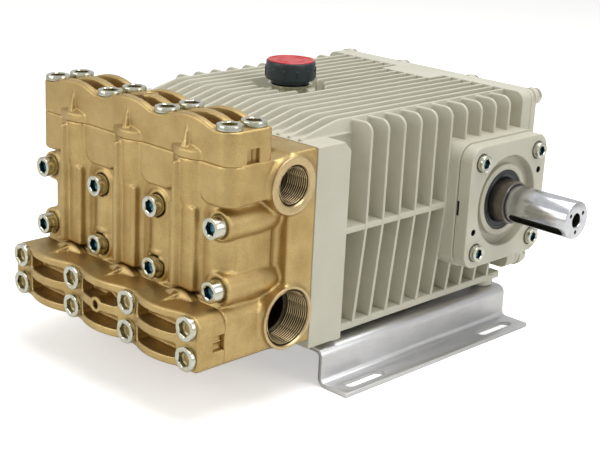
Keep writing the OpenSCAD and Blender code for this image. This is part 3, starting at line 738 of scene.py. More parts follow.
# Inside of the cover screws' sockets: painted reflection of the brass around them, with painted shade.
SOCKET_BRASS_REFLECTION = Finish("Yellow passivated socket", "zinc_steel", "#B3AB84", "#87826A", 1.0, 0.28, 0.12,
                      patch_mm=3, grain_mm=0.6, grain_depth_mm=0.02)
# Shaft steel ground between centres: bright, with hair lines that run around the shaft.
GROUND_STEEL = Finish("Ground shaft steel", "ground_steel", "#DCDEE2", "#BFC0C4", 1.0, 0.18, 0.08,
                      patch_mm=9, grain_mm=0.5, grain_depth_mm=0.012, stretch=(6.0, 1.0, 1.0))
# Turned steel behind the seal: darker and duller, coloured by oil.
TURNED_STEEL = Finish("Turned journal steel", "ground_steel", "#8E857D", "#6F6761", 1.0, 0.32, 0.08,
                      patch_mm=9, grain_mm=0.6, grain_depth_mm=0.02, stretch=(5.0, 1.0, 1.0))
# Steel in the keyway and the shaft's holes, darkened with painted shade.
KEYWAY_SHADE_STEEL = Finish("Oiled keyway steel", "ground_steel", "#55554A", "#3B3B33", 1.0, 0.42, 0.10,
                     patch_mm=6, grain_mm=0.6, grain_depth_mm=0.02)
# Bent and brushed aluminium sheet: pale grey with fine lines along its length.
BRUSHED_ALUMINIUM = Finish("Brushed aluminium sheet", "rail_aluminium", "#CFCFCF", "#C3C3C4", 1.0, 0.38, 0.08,
                           patch_mm=26, grain_mm=0.9, grain_depth_mm=0.015, stretch=(1.0, 0.06, 1.0))
# Nitrile rubber: black with a slight oily sheen.
NITRILE_RUBBER = Finish("Moulded nitrile rubber", "seal_rubber", "#262D31", "#12171A", 0.0, 0.34, 0.12,
                        patch_mm=4, grain_mm=0.7, grain_depth_mm=0.03, ior=1.52)
# Glass-filled nylon, moulded: near-black blue-green with soft gloss.
BLACK_NYLON = Finish("Moulded black nylon", "black_plastic", "#1A2A2F", "#132024", 0.0, 0.36, 0.10,
                     patch_mm=10, grain_mm=0.6, grain_depth_mm=0.02, ior=1.53)
# ABS, moulded: strong red with an even gloss.
RED_ABS = Finish("Moulded red ABS", "red_plastic", "#BE1A22", "#A8141C", 0.0, 0.34, 0.08,
                 patch_mm=12, grain_mm=0.8, grain_depth_mm=0.015, ior=1.54)
# Annealed copper washer: pink-brown and dull from its oxide.
ANNEALED_COPPER = Finish("Annealed copper", "copper", "#B98262", "#A06C50", 1.0, 0.40, 0.12,
                         patch_mm=5, grain_mm=0.6, grain_depth_mm=0.02)
# Dark of a gap or a deep hole: bare metal in shade.
SHADED_IRON = Finish("Shaded iron", "ground_steel", "#26282A", "#1B1C1E", 0.4, 0.7, 0.08,
                     patch_mm=6, grain_mm=0.8, grain_depth_mm=0.02)


@dataclass(frozen=True)
class SightGlass:
    """Toughened glass disc with yellow oil behind it."""

    name: str = "Toughened sight glass"
    slot: str = "window_glass"
    tint: str = "#E8DCA6"

    def material(self) -> bpy.types.Material:
        """Builds the material, or returns it if it is there already.

        Returns:
            The material.
        """
        found = bpy.data.materials.get(self.name)
        if found:
            return found
        made = bpy.data.materials.new(self.name)
        made.use_nodes = True
        tree = made.node_tree
        tree.nodes.clear()
        where = put(tree, "ShaderNodeTexCoord").outputs["Object"]
        film = put(tree, "ShaderNodeTexNoise", Vector=where, Scale=180.0, Detail=2.0)
        shade = put(tree, "ShaderNodeMix", {"data_type": "RGBA"}, in0=film.outputs["Fac"],
                    in6=linear(self.tint), in7=linear("#D2BE73"))
        shader = put(tree, "ShaderNodeBsdfPrincipled", Base_Color=shade.outputs[2], Roughness=0.05, IOR=1.52,
                     Transmission_Weight=0.55, Coat_Weight=0.5, Coat_Roughness=0.03)
        put(tree, "ShaderNodeOutputMaterial", Surface=shader.outputs[0])
        return made


AnyFinish = Finish | SightGlass


# Pieces


@dataclass
class SubAssembly:
    """A group of pieces; it makes objects and notes them for the log."""

    body: str = HOUSING
    made: list[bpy.types.Object] = field(default_factory=list)

    def piece(self, name: str, data: MeshData, finish: AnyFinish, nodes: Sequence[str] = (),
              sharp: float | None = 35.0) -> bpy.types.Object:
        """Makes one object, dresses it and ties it to its body.

        Args:
            name: Name of the piece.
            data: Mesh in millimetres.
            finish: Finish of the piece.
            nodes: CAD nodes that it stands for.
            sharp: Angle in degrees from which an edge stays sharp, or None for all smooth.

        Returns:
            The object.
        """
        mesh = bpy.data.meshes.new(name)
        mesh.from_pydata((data[0] * MM).tolist(), [], data[1])
        mesh.validate()
        obj = bpy.data.objects.new(name, mesh)
        bpy.context.scene.collection.objects.link(obj)
        mesh.shade_smooth()
        if sharp is not None:
            mesh.set_sharp_from_angle(angle=math.radians(sharp))
        mesh.materials.append(finish.material())
        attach(obj, self.body)
        if nodes:
            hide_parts(*nodes)
        self.made.append(obj)
        return obj

    def report(self) -> None:
        """Logs each piece with its number of faces."""
        for obj in self.made:
            LOG.info("%s: %s, %d faces", type(self).__name__, obj.name, len(obj.data.polygons))


def bevelled(data: MeshData, cutters: Sequence[MeshData], width: float) -> MeshData:
    """Cuts solids out of a mesh and breaks its edges.

    Args:
        data: The solid in millimetres.
        cutters: The solids to take away.
        width: Width of the broken edges.

    Returns:
        The finished mesh.
    """
    def temporary(name: str, part: MeshData) -> bpy.types.Object:
        """Makes a scratch object from a mesh."""
        mesh = bpy.data.meshes.new(name)
        mesh.from_pydata(part[0].tolist(), [], part[1])
        obj = bpy.data.objects.new(name, mesh)
        bpy.context.scene.collection.objects.link(obj)
        return obj

    work = temporary("work", data)
    tools = [temporary("cutter", c) for c in cutters]
    for tool in tools:
        cut = work.modifiers.new("cut", "BOOLEAN")
        cut.operation, cut.solver, cut.object = "DIFFERENCE", "EXACT", tool
    if width > 0:
        edge = work.modifiers.new("edge", "BEVEL")
        edge.width, edge.segments, edge.limit_method = width, 2, "ANGLE"
        edge.angle_limit = math.radians(40)
    graph = bpy.context.evaluated_depsgraph_get()
    result = bpy.data.meshes.new_from_object(work.evaluated_get(graph))
    verts = np.array([v.co[:] for v in result.vertices])
    faces = [tuple(p.vertices) for p in result.polygons]
    bpy.data.meshes.remove(result)
    for obj in [work, *tools]:
        mesh = obj.data
        bpy.data.objects.remove(obj)
        bpy.data.meshes.remove(mesh)
    return verts, faces


def drawn_out(points: Sequence[tuple[float, float]], lo: float, hi: float) -> MeshData:
    """Draws an outline in X and Z out along Y.

    Args:
        points: Outline, counter-clockwise seen against +Y.
        lo: Lowest Y.
        hi: Highest Y.

    Returns:
        The closed solid.
    """
    n = len(points)
    verts = np.array([(x, y, z) for y in (lo, hi) for x, z in points], float)
    faces: list[Sequence[int]] = [(i, (i + 1) % n, n + (i + 1) % n, n + i) for i in range(n)]
    faces.append(tuple(range(n - 1, -1, -1)))
    faces.append(tuple(range(n, 2 * n)))
    return verts, faces


def shrunk(points: Array, inset: float) -> Array:
    """Moves every side of a counter-clockwise outline inwards.

    Args:
        points: The outline's corners.
        inset: Distance.

    Returns:
        The smaller outline.
    """
    before = points - np.roll(points, 1, axis=0)
    after = np.roll(points, -1, axis=0) - points
    normals = []
    for run in (before, after):
        unit = run / np.linalg.norm(run, axis=1, keepdims=True)
        normals.append(np.stack([-unit[:, 1], unit[:, 0]], axis=1))
    middle = normals[0] + normals[1]
    middle /= (middle * normals[0]).sum(axis=1, keepdims=True)
    return points + middle * inset


def edged(points: Sequence[tuple[float, float]], axis: Axis, lo: float, hi: float,
          edge: float = 1.0) -> MeshData:
    """Draws an outline out along one axis and rounds its rims.

    Args:
        points: Counter-clockwise outline across the axis, its coordinates in Y Z, Z X or X Y order.
        axis: Axis along which it is drawn out.
        lo: Lowest place on that axis.
        hi: Highest place on that axis.
        edge: Radius of both rims.

    Returns:
        The solid.
    """
    outline = np.array(points, float)
    # Inset and rise of each ring in edge radii; the first and last keep the flat faces flat.
    steps = ((1.9, 0.0), (1.0, 0.0), (0.42, 0.1), (0.1, 0.42), (0.0, 1.0), (0.0, 1.8))
    levels = [(inset, lo + rise * edge) for inset, rise in steps]
    levels += [(inset, hi - rise * edge) for inset, rise in reversed(steps)]
    rings = []
    for inset, place in levels:
        flat = shrunk(outline, inset * edge)
        rings.append(np.column_stack([flat, np.full(len(flat), place)]))
    order = {Axis.X: [2, 0, 1], Axis.Y: [1, 2, 0], Axis.Z: [0, 1, 2]}[axis]
    verts, faces = stacked(rings)
    return verts[:, order], faces


def corner_arc(centre: tuple[float, float], radius: float, start: float,
               count: int = 7) -> list[tuple[float, float]]:
    """Points of a quarter circle.

    Args:
        centre: Its middle.
        radius: Its radius.
        start: Angle of the first point in degrees.
        count: Number of points.

    Returns:
        The points, counter-clockwise.
    """
    angles = np.radians(np.linspace(start, start + 90, count))
    return [(centre[0] + radius * math.cos(a), centre[1] + radius * math.sin(a)) for a in angles]


def rounded_box(lo: tuple[float, float], hi: tuple[float, float], radius: float) -> list[tuple[float, float]]:
    """Outline of a rectangle with round corners.

    Args:
        lo: Lowest corner.
        hi: Highest corner.
        radius: Corner radius.

    Returns:
        The outline, counter-clockwise.
    """
    points = []
    for i, (u, v) in enumerate(((hi[0], hi[1]), (lo[0], hi[1]), (lo[0], lo[1]), (hi[0], lo[1]))):
        centre = (u - radius if u == hi[0] else u + radius, v - radius if v == hi[1] else v + radius)
        points += corner_arc(centre, radius, 90 * i)
    return points


def pill(half_width: float, lo: float, hi: float, height: float) -> Array:
    """One level of a fin: a long narrow rectangle with round corners.

    Args:
        half_width: Half its width on the first axis.
        lo: Lowest place on the second axis.
        hi: Highest place on the second axis.
        height: Height of the level.

    Returns:
        The level's points.
    """
    radius = 0.85 * half_width
    outline = rounded_box((-half_width, lo), (half_width, hi), radius)
    return np.array([(u, v, height) for u, v in outline])


def slot_block(lo: Vec3, hi: Vec3) -> MeshData:
    """Makes a plain block to cut with, or to fill a slot with painted shade.

    Args:
        lo: Lowest corner.
        hi: Highest corner.

    Returns:
        The block.
    """
    base = np.array([(lo[0], lo[1]), (hi[0], lo[1]), (hi[0], hi[1]), (lo[0], hi[1])])
    return stacked([np.column_stack([base, np.full(4, z)]) for z in (lo[2], hi[2])])


def slot_solid(centre: tuple[float, float], width: float, length: float, low: float, high: float) -> MeshData:
    """A slot with round ends along Y, as a solid to cut with.

    Args:
        centre: X and Y of its middle.
        width: Width.
        length: Length over the round ends.
        low: Lowest Z.
        high: Highest Z.

    Returns:
        The solid.
    """
    r, shift = width / 2, (length - width) / 2
    points = []
    for end in (1, -1):
        for step in range(17):
            angle = math.pi * step / 16 + (0 if end > 0 else math.pi)
            points.append((centre[0] + r * math.cos(angle), centre[1] + end * shift + r * math.sin(angle)))
    return stacked([np.array([(x, y, z) for x, y in points]) for z in (low, high)])


@dataclass
class Layout(SubAssembly):
    """Sizes that several sub-assemblies share."""

    pitch: float = 74.0
    shaft_z: float = 135.0
    shaft_y: float = 85.5
    joint_y: float = -147.0
    front_y: float = -240.0
    half: float = 127.0
    block_z: float = 210.5
    case_top: float = 214.5
    fin_top: float = 227.0
    delivery_y: float = -217.6
    suction_z: float = 71.4

    @property
    def columns(self) -> tuple[float, ...]:
        """Places of the four rows of screws along the pump."""
        return tuple(i * self.pitch for i in (-1.5, -0.5, 0.5, 1.5))

    @property
    def bays(self) -> tuple[float, ...]:
        """Middles of the three plunger bays along the pump."""
        return tuple(i * self.pitch for i in (-1, 0, 1))


@dataclass
class Manifold(Layout):
    """The brass casting with its ports, plugs and through screws."""

    plate_y: float = -177.5
    bottom_z: float = 47.5
    block_half: float = 124.0
    block_low: float = 177.5
    core_y: float = -160.0
    panel_back: float = 4.0
    cover_w: float = 47.0
    big_r: float = 13.0
    small_r: float = 6.0
    waist_half: float = 115.0
    waist_y: float = -237.0
    waist_r: float = 16.0
    column_y: float = -245.0
    column_sides: tuple[float, float] = (16.0, 14.5)
    column_low: float = 101.5
    column_high: float = 172.0
    seam_y: float = -250.4
    seam_off: float = 5.0
    belly_y: float = -226.0
    belly_half: float = 22.5
    belly_reach: float = 20.6
    panels: tuple[tuple[float, float], ...] = ((-124, -90.5), (-58, -16), (16, 58), (89, 124))
    barrel_y: float = -228.5
    barrel_r: float = 13.0
    counterbore_r: float = 9.9
    thread_relief: float = 2.4
    screw_z: tuple[float, float] = (108.7, 161.3)
    boss_r: float = 12.5
    seat_y: float = -236.0
    port_y: float = -175.5
    port_x: float = 130.0
    outlet_z: float = 188.0
    outlet_r: float = 15.15
    outlet_boss: float = 24.3
    inlet_z: float = 75.5
    inlet_r: float = 22.42
    inlet_boss: float = 27.3
    thread_pitch: float = 2.309
    thread_l: float = 24.0
    step: float = 1.3

    def build(self) -> None:
        """Builds the casting, its ports and its screws."""
        self.casting()
        self.ports()
        self.plugs()
        self.screws()

    def casting(self) -> None:
        """Draws the sand casting and meshes it."""
        fine, middling = self.step, 1.4
        cast = Casting(graded((-132, 132, fine)),
                       graded((-254, -226, fine), (-226, -172, middling), (-172, -145, 2.6)),
                       graded((45, 112, fine), (112, 158, middling), (158, 217, fine)))
        self.blocks(cast)
        self.bosses(cast)
        self.bellies(cast)
        self.ends(cast)
        self.bores(cast)

        def shown(middles: Array) -> Array:
            """Drops the hidden back face, but keeps its rim."""
            rim = (middles[:, 2] > self.case_top - 2.5) | (np.abs(middles[:, 0]) > self.half - 2.5)
            return (middles[:, 1] < self.joint_y - 0.4) | rim

        self.piece("manifold_casting", cast.surface(shown), CAST_BRASS, ["manifold_body"], None)

    def blocks(self, cast: Casting) -> None:
        """Adds the rear plate, both valve blocks and the wall between them.

        Args:
            cast: The casting.
        """
        half, front, deep = self.block_half, self.waist_y, self.core_y
        low, high = (-self.half, self.plate_y, self.bottom_z), (self.half, self.joint_y, self.case_top)
        cast.add(slab(low, high, 1.4), 0)
        cast.add(self.upper_block(self.panel_back), 3)
        cast.add(slab((-half, -228, 181), (half, deep, self.block_z), 2.0), 4)
        waist = rectangle((0, (front + deep) / 2), (2 * self.waist_half, deep - front), self.waist_r, 2)
        cast.add(prism(Axis.Z, waist, (-116, front, 88), (116, deep, 184), 1.0), 5)
        low_block = rectangle((0, self.suction_z), (2 * half, self.cover_w), self.small_r, self.big_r)
        bottom, top = self.suction_z - self.cover_w / 2, self.suction_z + self.cover_w / 2
        cast.add(prism(Axis.Y, low_block, (-half, self.front_y, bottom), (half, deep, top), 1.2), 5)

    def bosses(self, cast: Casting) -> None:
        """Adds the screw bosses, the arms of the outer screws and the upright barrels.

        Args:
            cast: The casting.
        """
        y, r = self.barrel_y, self.barrel_r
        for x in self.columns:
            outer = abs(x) > 100
            for z in self.screw_z:
                boss = bar(Axis.Y, (x, self.seat_y - 3.2, z), self.boss_r, 60, 1.2)
                cast.add(self.arm(x, z) if outer else boss, 4)
            if not outer:
                cast.add(bar(Axis.Z, (x, y, 110), r, 48, 3), 2.5)
                cast.add(bar(Axis.Z, (x, y, 120.0), r + 1, 3, 1.2), 1.2)
                cast.add(bar(Axis.Z, (x, y, 114.0), r + 2, 3.5, 1.4), 1.2)

    def bellies(self, cast: Casting) -> None:
        """Adds the columns with their bellies and seam ribs, and the panels between them.

        Args:
            cast: The casting.
        """
        left, right = self.column_sides
        for x in self.bays:
            low, high = (x - left, self.column_y, self.column_low), (x + right, -215, self.column_high)
            cast.add(slab(low, high, 1.8), 5)
            cast.add(self.belly(x), 2.0)
        for lo, hi in self.panels:
            cast.add(self.panel(lo, hi), 1.4)
        for x in self.bays:
            cast.add(self.seam(x - self.seam_off), 0.8)

    def ends(self, cast: Casting) -> None:
        """Adds the port rings and the flat panel between them to both ends.

        Args:
            cast: The casting.
        """
        for side in (-1, 1):
            for z, _, ring_r in self.port_sizes():
                x0 = side * self.port_x - (21 if side > 0 else -0.5)
                cast.add(bar(Axis.X, (x0, self.port_y, z), ring_r, 20.5, 0.6), 4)
            flat = rectangle((-204.5, 135), (39, 35), 4, 4)
            x0, x1 = sorted((side * 100, side * 116.4))
            cast.add(prism(Axis.X, flat, (x0, -224, 117), (x1, -185, 153), 1.2), 0.8)

    def bores(self, cast: Casting) -> None:
        """Cuts the port bores and the seats of the tall screws.

        Args:
            cast: The casting.
        """
        for side in (-1, 1):
            for z, r, _ in self.port_sizes():
                x0 = side * self.port_x - (60 if side > 0 else 5)
                cast.cut(bar(Axis.X, (x0, self.port_y, z), r + self.thread_relief, 65, 0.1), 0.3)
        for x in self.columns:
            for z in self.screw_z:
                cast.cut(bar(Axis.Y, (x, -260, z), self.counterbore_r, 24, 0.1), 0.5)

    def port_sizes(self) -> tuple[Vec3, Vec3]:
        """Height, thread radius and ring radius of the outlet and of the inlet."""
        outlet = (self.outlet_z, self.outlet_r, self.outlet_boss)
        return outlet, (self.inlet_z, self.inlet_r, self.inlet_boss)

    def upper_block(self, back: float) -> Shape:
        """Draws the valve block behind its raised panels.

        Args:
            back: How far its front lies behind the panels.

        Returns:
            The block.
        """
        y, width = self.delivery_y + back / 2, self.cover_w - back
        half = self.block_half
        outline = rectangle((0, y), (2 * half, width), self.big_r, self.small_r)
        return prism(Axis.Z, outline, (-half, y - width / 2, 180), (half, y + width / 2, self.block_z), 1.2)

    def panel(self, lo: float, hi: float) -> Shape:
        """Draws one raised panel of the valve block, with round lower corners.

        Args:
            lo: Lowest X.
            hi: Highest X.

        Returns:
            The panel.
        """
        y, width = self.delivery_y, self.cover_w
        block = rectangle((0, y), (2 * self.block_half, width), self.big_r, self.small_r)
        left, right = (lo - 12 if lo < -100 else lo), (hi + 12 if hi > 100 else hi)
        face = rectangle(((left + right) / 2, 197.5), (right - left, 40), 11, 2)

        def distance(x: Array, yy: Array, z: Array) -> Array:
            """Signed distance to the panel."""
            keel = self.block_low + 0.07 * np.maximum(yy + 230, 0) - z
            shape = rounded(block(x, yy), np.maximum(face(x, z), keel), 1.6)
            return rounded(shape, z - self.block_z, 0.8)

        return Shape((lo, y - width / 2, self.block_low), (hi, y + width / 2, self.block_z), distance)

    def belly(self, bay: float) -> Shape:
        """Draws the round belly over one plunger, closed like a boat's bow at its lower end.

        Args:
            bay: Middle of the bay along the pump.

        Returns:
            The belly.
        """
        def distance(x: Array, y: Array, z: Array) -> Array:
            """Signed distance to the belly."""
            across, out = (x - bay) / self.belly_half, (y - self.belly_y) / self.belly_reach
            drop = np.maximum(180 - z, 0) / 21
            round_part = (np.sqrt(across ** 2 + out ** 2 + drop ** 2) - 1) * 19
            return rounded(round_part, z - self.block_z + 0 * x, 0.8)

        return Shape((bay - 23, -247, 158), (bay + 23, -200, self.block_z), distance)

    def seam(self, x: float) -> Shape:
        """Draws the seam rib of one column.

        Args:
            x: Its middle along the pump.

        Returns:
            The rib.
        """
        front, tip_half, draft = self.seam_y, 1.9, 0.42

        def outline(u: Array, v: Array) -> Array:
            """Distance to the rib seen from above."""
            return rounded(np.abs(u - x) - tip_half - draft * (v - front), front - v, 0.9)

        return prism(Axis.Z, outline, (x - 4, front, 102), (x + 4, -242, 207), 1.6)

    def arm(self, x: float, z: float) -> Shape:
        """Draws the round arm behind an outer screw, tapered into the plate.

        Args:
            x: Its axis along the pump.
            z: Its axis in height.

        Returns:
            The arm.
        """
        front, radius = self.seat_y - 1.6, self.boss_r + (0.8 if z < 130 else 0.0)

        def distance(xx: Array, y: Array, zz: Array) -> Array:
            """Signed distance to the arm."""
            taper = np.sqrt(np.maximum(1 - (np.clip(y + 205, 0, 34) / 34) ** 2, 0.0))
            return rounded(np.hypot(xx - x, zz - z) - radius * taper, front - y, 1.2)

        return Shape((x - radius, front, z - radius), (x + radius, -172, z + radius), distance)

    def ports(self) -> None:
        """Builds the faced rims, threads and inner bores of the ports."""
        rims, crests, roots = [], [], []
        for z, r, boss in self.port_sizes():
            rim = [(boss - 0.15, -4), (boss, -3.5), (boss, -0.6), (boss - 0.6, 0), (r + 3.0, 0),
                   (r + self.thread_relief, -0.25), (r + 1.6, -1.6)]
            for facing, side in ((Facing.RIGHT, 1), (Facing.LEFT, -1)):
                at = (side * self.port_x, self.port_y, z)
                rims.append(open_ended(turned(rim, 96, facing, at)))
                if side > 0:
                    crest, root = self.thread(r, facing, at)
                    crests.append(crest)
                    end, inner = -self.thread_l, r - (3.6 if r < 20 else 4.4)
                    bore = [(r + 1.8, end + 1), (r + 0.2, end), (inner + 0.5, end - 0.5), (inner, end - 1.2),
                            (inner, end - 26), (0.4, end - 30)]
                    roots += [root, open_ended(turned(bore, 64, facing, at))]
        self.piece("port_faces", merged(rims), MACHINED_BRASS, (), 30)
        self.piece("port_thread_crests", merged(crests), MACHINED_BRASS, (), 70)
        # The thread flanks and roots and the inner bores get brass with painted shade.
        self.piece("port_thread_roots", merged(roots), BORE_SHADE_BRASS, (), 70)

    def thread(self, radius: float, facing: Facing, at: Vec3) -> tuple[MeshData, MeshData]:
        """Cuts a pipe thread into a bore.

        Args:
            radius: Radius over the crests.
            facing: Where the bore opens.
            at: Middle of its mouth.

        Returns:
            The crests in faced brass, and the flanks and roots, which get painted shade.
        """
        segments, per_turn, depth, crest_share = 96, 12, 1.3, 0.3
        rows = int(self.thread_l / self.thread_pitch * per_turn)
        angle = np.arange(segments) / segments
        rings, radii = [], []
        for row in range(rows + 1):
            height = -1.4 - row * self.thread_pitch / per_turn
            wave = np.abs(2 * ((row / per_turn + angle) % 1.0) - 1)
            r = radius + depth * np.clip(1.3 * wave - 0.15, 0, 1)
            radii.append(r)
            rings.append(np.stack([r * np.cos(2 * math.pi * angle), r * np.sin(2 * math.pi * angle),
                                   np.full(segments, height)], axis=1))
        verts, faces = open_ended(stacked(rings, facing, at))
        sizes = np.concatenate(radii)
        # Faces near the crest radius stay faced brass; the deeper flanks and roots get painted shade.
        limit = radius + crest_share * depth
        bright = [face for face in faces if sizes[list(face)].mean() < limit]
        dark = [face for face in faces if sizes[list(face)].mean() >= limit]
        return used_only(verts, bright), used_only(verts, dark)

    def plugs(self) -> None:
        """Builds the hexagon plugs and copper washers on the left-hand end."""
        for name, z, boss, flats in (("outlet_plug", self.outlet_z, self.outlet_boss, 29.4),
                                     ("inlet_plug", self.inlet_z, self.inlet_boss, 36.4)):
            at = (-self.port_x - 2.0, self.port_y, z)
            r, n, corner = boss - 2.5, 72, flats / 2 / math.cos(math.pi / 6)
            rings = [ring(n, r - 0.5, 0), ring(n, r, 0.5), ring(n, r, 3.5), ring(n, r - 0.5, 4.0),
                     ring(n, corner + 0.6, 4.0), ring(n, corner, 4.0, flats), ring(n, corner, 11.6, flats),
                     ring(n, corner - 0.6, 12.3, flats - 0.2), ring(n, flats / 2 - 0.4, 13.0),
                     ring(n, flats / 2 - 5, 13.0), ring(n, flats / 2 - 6, 12.2), ring(n, 2, 12.0)]
            self.piece(name + "_head", stacked(rings, Facing.LEFT, at), MACHINED_BRASS, [name], 25)
            washer = [(r + 1, 0.0), (r + 1.2, 1.0), (r + 1, 2.0), (r - 5, 2.0), (r - 5, 0.0)]
            self.piece(name + "_seal", turned_loop(washer, 72, Facing.LEFT, (-self.port_x, self.port_y, z)),
                       ANNEALED_COPPER, [name + "_washer"], 50)

    def screws(self) -> None:
        """Builds the tall socket heads that clamp the casting to the crankcase."""
        head = SocketHead(18.0, 12.0, 10.0, 5.0, 0.8)
        places = [(x, self.seat_y, z) for x in self.columns for z in self.screw_z]
        heads = [head.mesh(Facing.FRONT, at, 12 * i + 7) for i, at in enumerate(places)]
        self.piece("manifold_screw_heads", merged(heads), ZINC_PLATE, ["manifold_screws"], 30)
        sockets = [head.socket(Facing.FRONT, at, 12 * i + 7) for i, at in enumerate(places)]
        self.piece("manifold_screw_sockets", merged(sockets), SOCKET_SHADE, (), 30)


class CoverSide(Enum):
    """Which of the two valve covers it is."""

    DELIVERY = "delivery"
    SUCTION = "suction"


@dataclass
class ValveCover(Layout):
    """One of the two alike covers: three arched ribs over each bay, lips and gussets."""

    side: CoverSide = CoverSide.DELIVERY
    length: float = 248.0
    width: float = 47.0
    seat: float = 27.5
    arch: float = 6.5
    arch_half: float = 28.0
    row: float = 12.7
    pocket_w: float = 12.4
    pocket_side: float = 10.2
    pocket_d: float = 11.0
    pocket_l: float = 48.0
    boss_hole: float = 3.6
    notch_y: tuple[float, float] = (-4.7, 8.0)
    notch_h: float = 12.2
    lip_out: float = 6.0
    lip_h: float = 6.8
    head_d: float = 21.0
    head_h: float = 4.5
    step: float = 1.05

    def build(self) -> None:
        """Builds the cover and its eight screws."""
        name = self.side.value
        body = self.placed(self.casting())
        self.piece(name + "_cover_casting", body, CAST_BRASS, [name + "_valve_cover"], None)
        head = SocketHead(self.head_d, self.head_h, 12.0, 3.9, 1.1)
        places = [(x, s * self.row, self.seat) for x in self.columns for s in (-1, 1)]
        heads = self.placed(merged(head.mesh(Facing.UP, at, 17 * i + 5) for i, at in enumerate(places)))
        self.piece(name + "_screw_heads", heads, ZINC_PLATE, [name + "_cover_screws"], 30)
        sockets = self.placed(merged(head.socket(Facing.UP, at, 17 * i + 5) for i, at in enumerate(places)))
        self.piece(name + "_screw_sockets", sockets, SOCKET_BRASS_REFLECTION, (), 30)

    def placed(self, data: MeshData) -> MeshData:
        """Moves a mesh from the cover's own plane to its place on the pump.

        Args:
            data: Mesh with x along the pump, gussets towards -y and the joint at z = 0.

        Returns:
            The mesh in the row's frame.
        """
        verts, faces = data
        if self.side is CoverSide.DELIVERY:
            return verts + np.array([0, self.delivery_y, self.block_z]), faces
        along, across, up = verts.T
        turned_over = np.stack([along, self.front_y - up, self.suction_z - across], axis=1)
        return turned_over, [tuple(reversed(f)) for f in faces]

    def top(self, x: Array) -> Array:
        """Height of the ribs over the joint.

        Args:
            x: Places along the pump.

        Returns:
            The height at each place.
        """
        radius = (self.arch_half ** 2 + self.arch ** 2) / (2 * self.arch)
        height = np.full_like(x, self.seat)
        for bay in self.bays:
            off = np.minimum(np.abs(x - bay), radius)
            arc = self.seat + self.arch - radius + np.sqrt(radius ** 2 - off ** 2)
            height = -smooth_min(-height, -arc, 2.5)
        return height

    def casting(self) -> MeshData:
        """Draws the cover in its own plane.

        Returns:
            The cover's mesh.
        """
        s, end = self.step, self.length / 2
        cast = Casting(graded((-127, 127, s)), graded((-32, 26, s)), graded((-3, 37, s)))
        outline = rectangle((0, 0), (self.length, self.width), 13.0, 6.0)

        def ribs(x: Array, y: Array, z: Array) -> Array:
            """Signed distance to the cover with its arched top."""
            return rounded(rounded(outline(x, y), (z - self.top(x)) * 0.97, 1.8), -z, 0.5)

        cast.add(Shape((-end, -24, 0), (end, 24, 35), ribs), 0)
        for bay in self.bays:
            cast.add(self.lip(bay), 0.8)
            cast.add(self.gusset(bay), 0.8)
        self.pockets(cast)
        cast.add(bar(Axis.Z, (0, 0, 10), 7.0, self.seat + self.arch - 10.1, 0.6), 0.8)
        cast.cut(bar(Axis.Z, (0, 0, 18), self.boss_hole, 30, 0.2), 0.5)
        for x in self.columns:
            for sign in (-1, 1):
                cast.cut(bar(Axis.Z, (x, sign * self.row, self.seat), self.head_d / 2 + 0.7, 20, 0.2), 0.4)
        for place in (-end, end):
            self.notch(cast, place)
        return cast.surface()

    def pockets(self, cast: Casting) -> None:
        """Cuts the two long pockets of each bay, which leave three ribs.

        Args:
            cast: The casting.
        """
        w, half_l = self.pocket_w, self.pocket_l / 2
        for bay in self.bays:
            for y in (-self.pocket_side, self.pocket_side):
                pocket = rectangle((bay, y), (self.pocket_l, w), 2.6, 2.6)
                low = (bay - half_l, y - w / 2, self.seat - self.pocket_d)
                cast.cut(prism(Axis.Z, pocket, low, (bay + half_l, y + w / 2, 40), 1.5), 0.8)

    def notch(self, cast: Casting, end: float) -> None:
        """Cuts the notch at one end by which the cover is prised off.

        Args:
            cast: The casting.
            end: Place of that end along the pump.
        """
        (low, high), top = self.notch_y, self.notch_h
        for a, b in ((low, 1.0), (2.6, high)):
            cast.cut(slab((end - 5.2, a, -6), (end + 5.2, b, top), 0.6), 0.5)
        cast.cut(slab((end - 3.4, low, -6), (end + 3.4, high, top), 0.6), 0.5)

    def lip(self, bay: float) -> Shape:
        """Draws the lens-shaped ledge in front of one plunger.

        Args:
            bay: Middle of the bay along the pump.

        Returns:
            The ledge.
        """
        half, reach = 17.6, self.lip_out
        radius = (half ** 2 + reach ** 2) / (2 * reach)
        centre_y = -self.width / 2 - reach + radius

        def distance(x: Array, y: Array, z: Array) -> Array:
            """Signed distance to the ledge."""
            front = np.hypot(x - bay, y - centre_y) - radius
            roof = (z - self.lip_h + 0.62 * front) * 0.85
            return rounded(rounded(front, y + self.width / 2 - 3, 0.3), np.maximum(roof, -z), 0.6)

        low, high = (bay - half, -self.width / 2 - reach, 0), (bay + half, -self.width / 2 + 3, 11)
        return Shape(low, high, distance)

    def gusset(self, bay: float) -> Shape:
        """Draws the slender web over one ledge.

        Args:
            bay: Middle of the bay along the pump.

        Returns:
            The web.
        """
        wall, reach, low, high = -self.width / 2, 4.0, 8.5, 26.0

        def distance(x: Array, y: Array, z: Array) -> Array:
            """Signed distance to the web."""
            slope = (reach * (z - low) - (high - low) * (y - wall + reach)) / math.hypot(reach, high - low)
            sides = np.abs(x - bay) - 0.9 - 0.14 * (high - z)
            return rounded(sides, np.maximum(slope, np.maximum(6 - z, y - wall - 2)), 0.6)

        return Shape((bay - 4, wall - 5, 6), (bay + 4, wall + 2, high), distance)


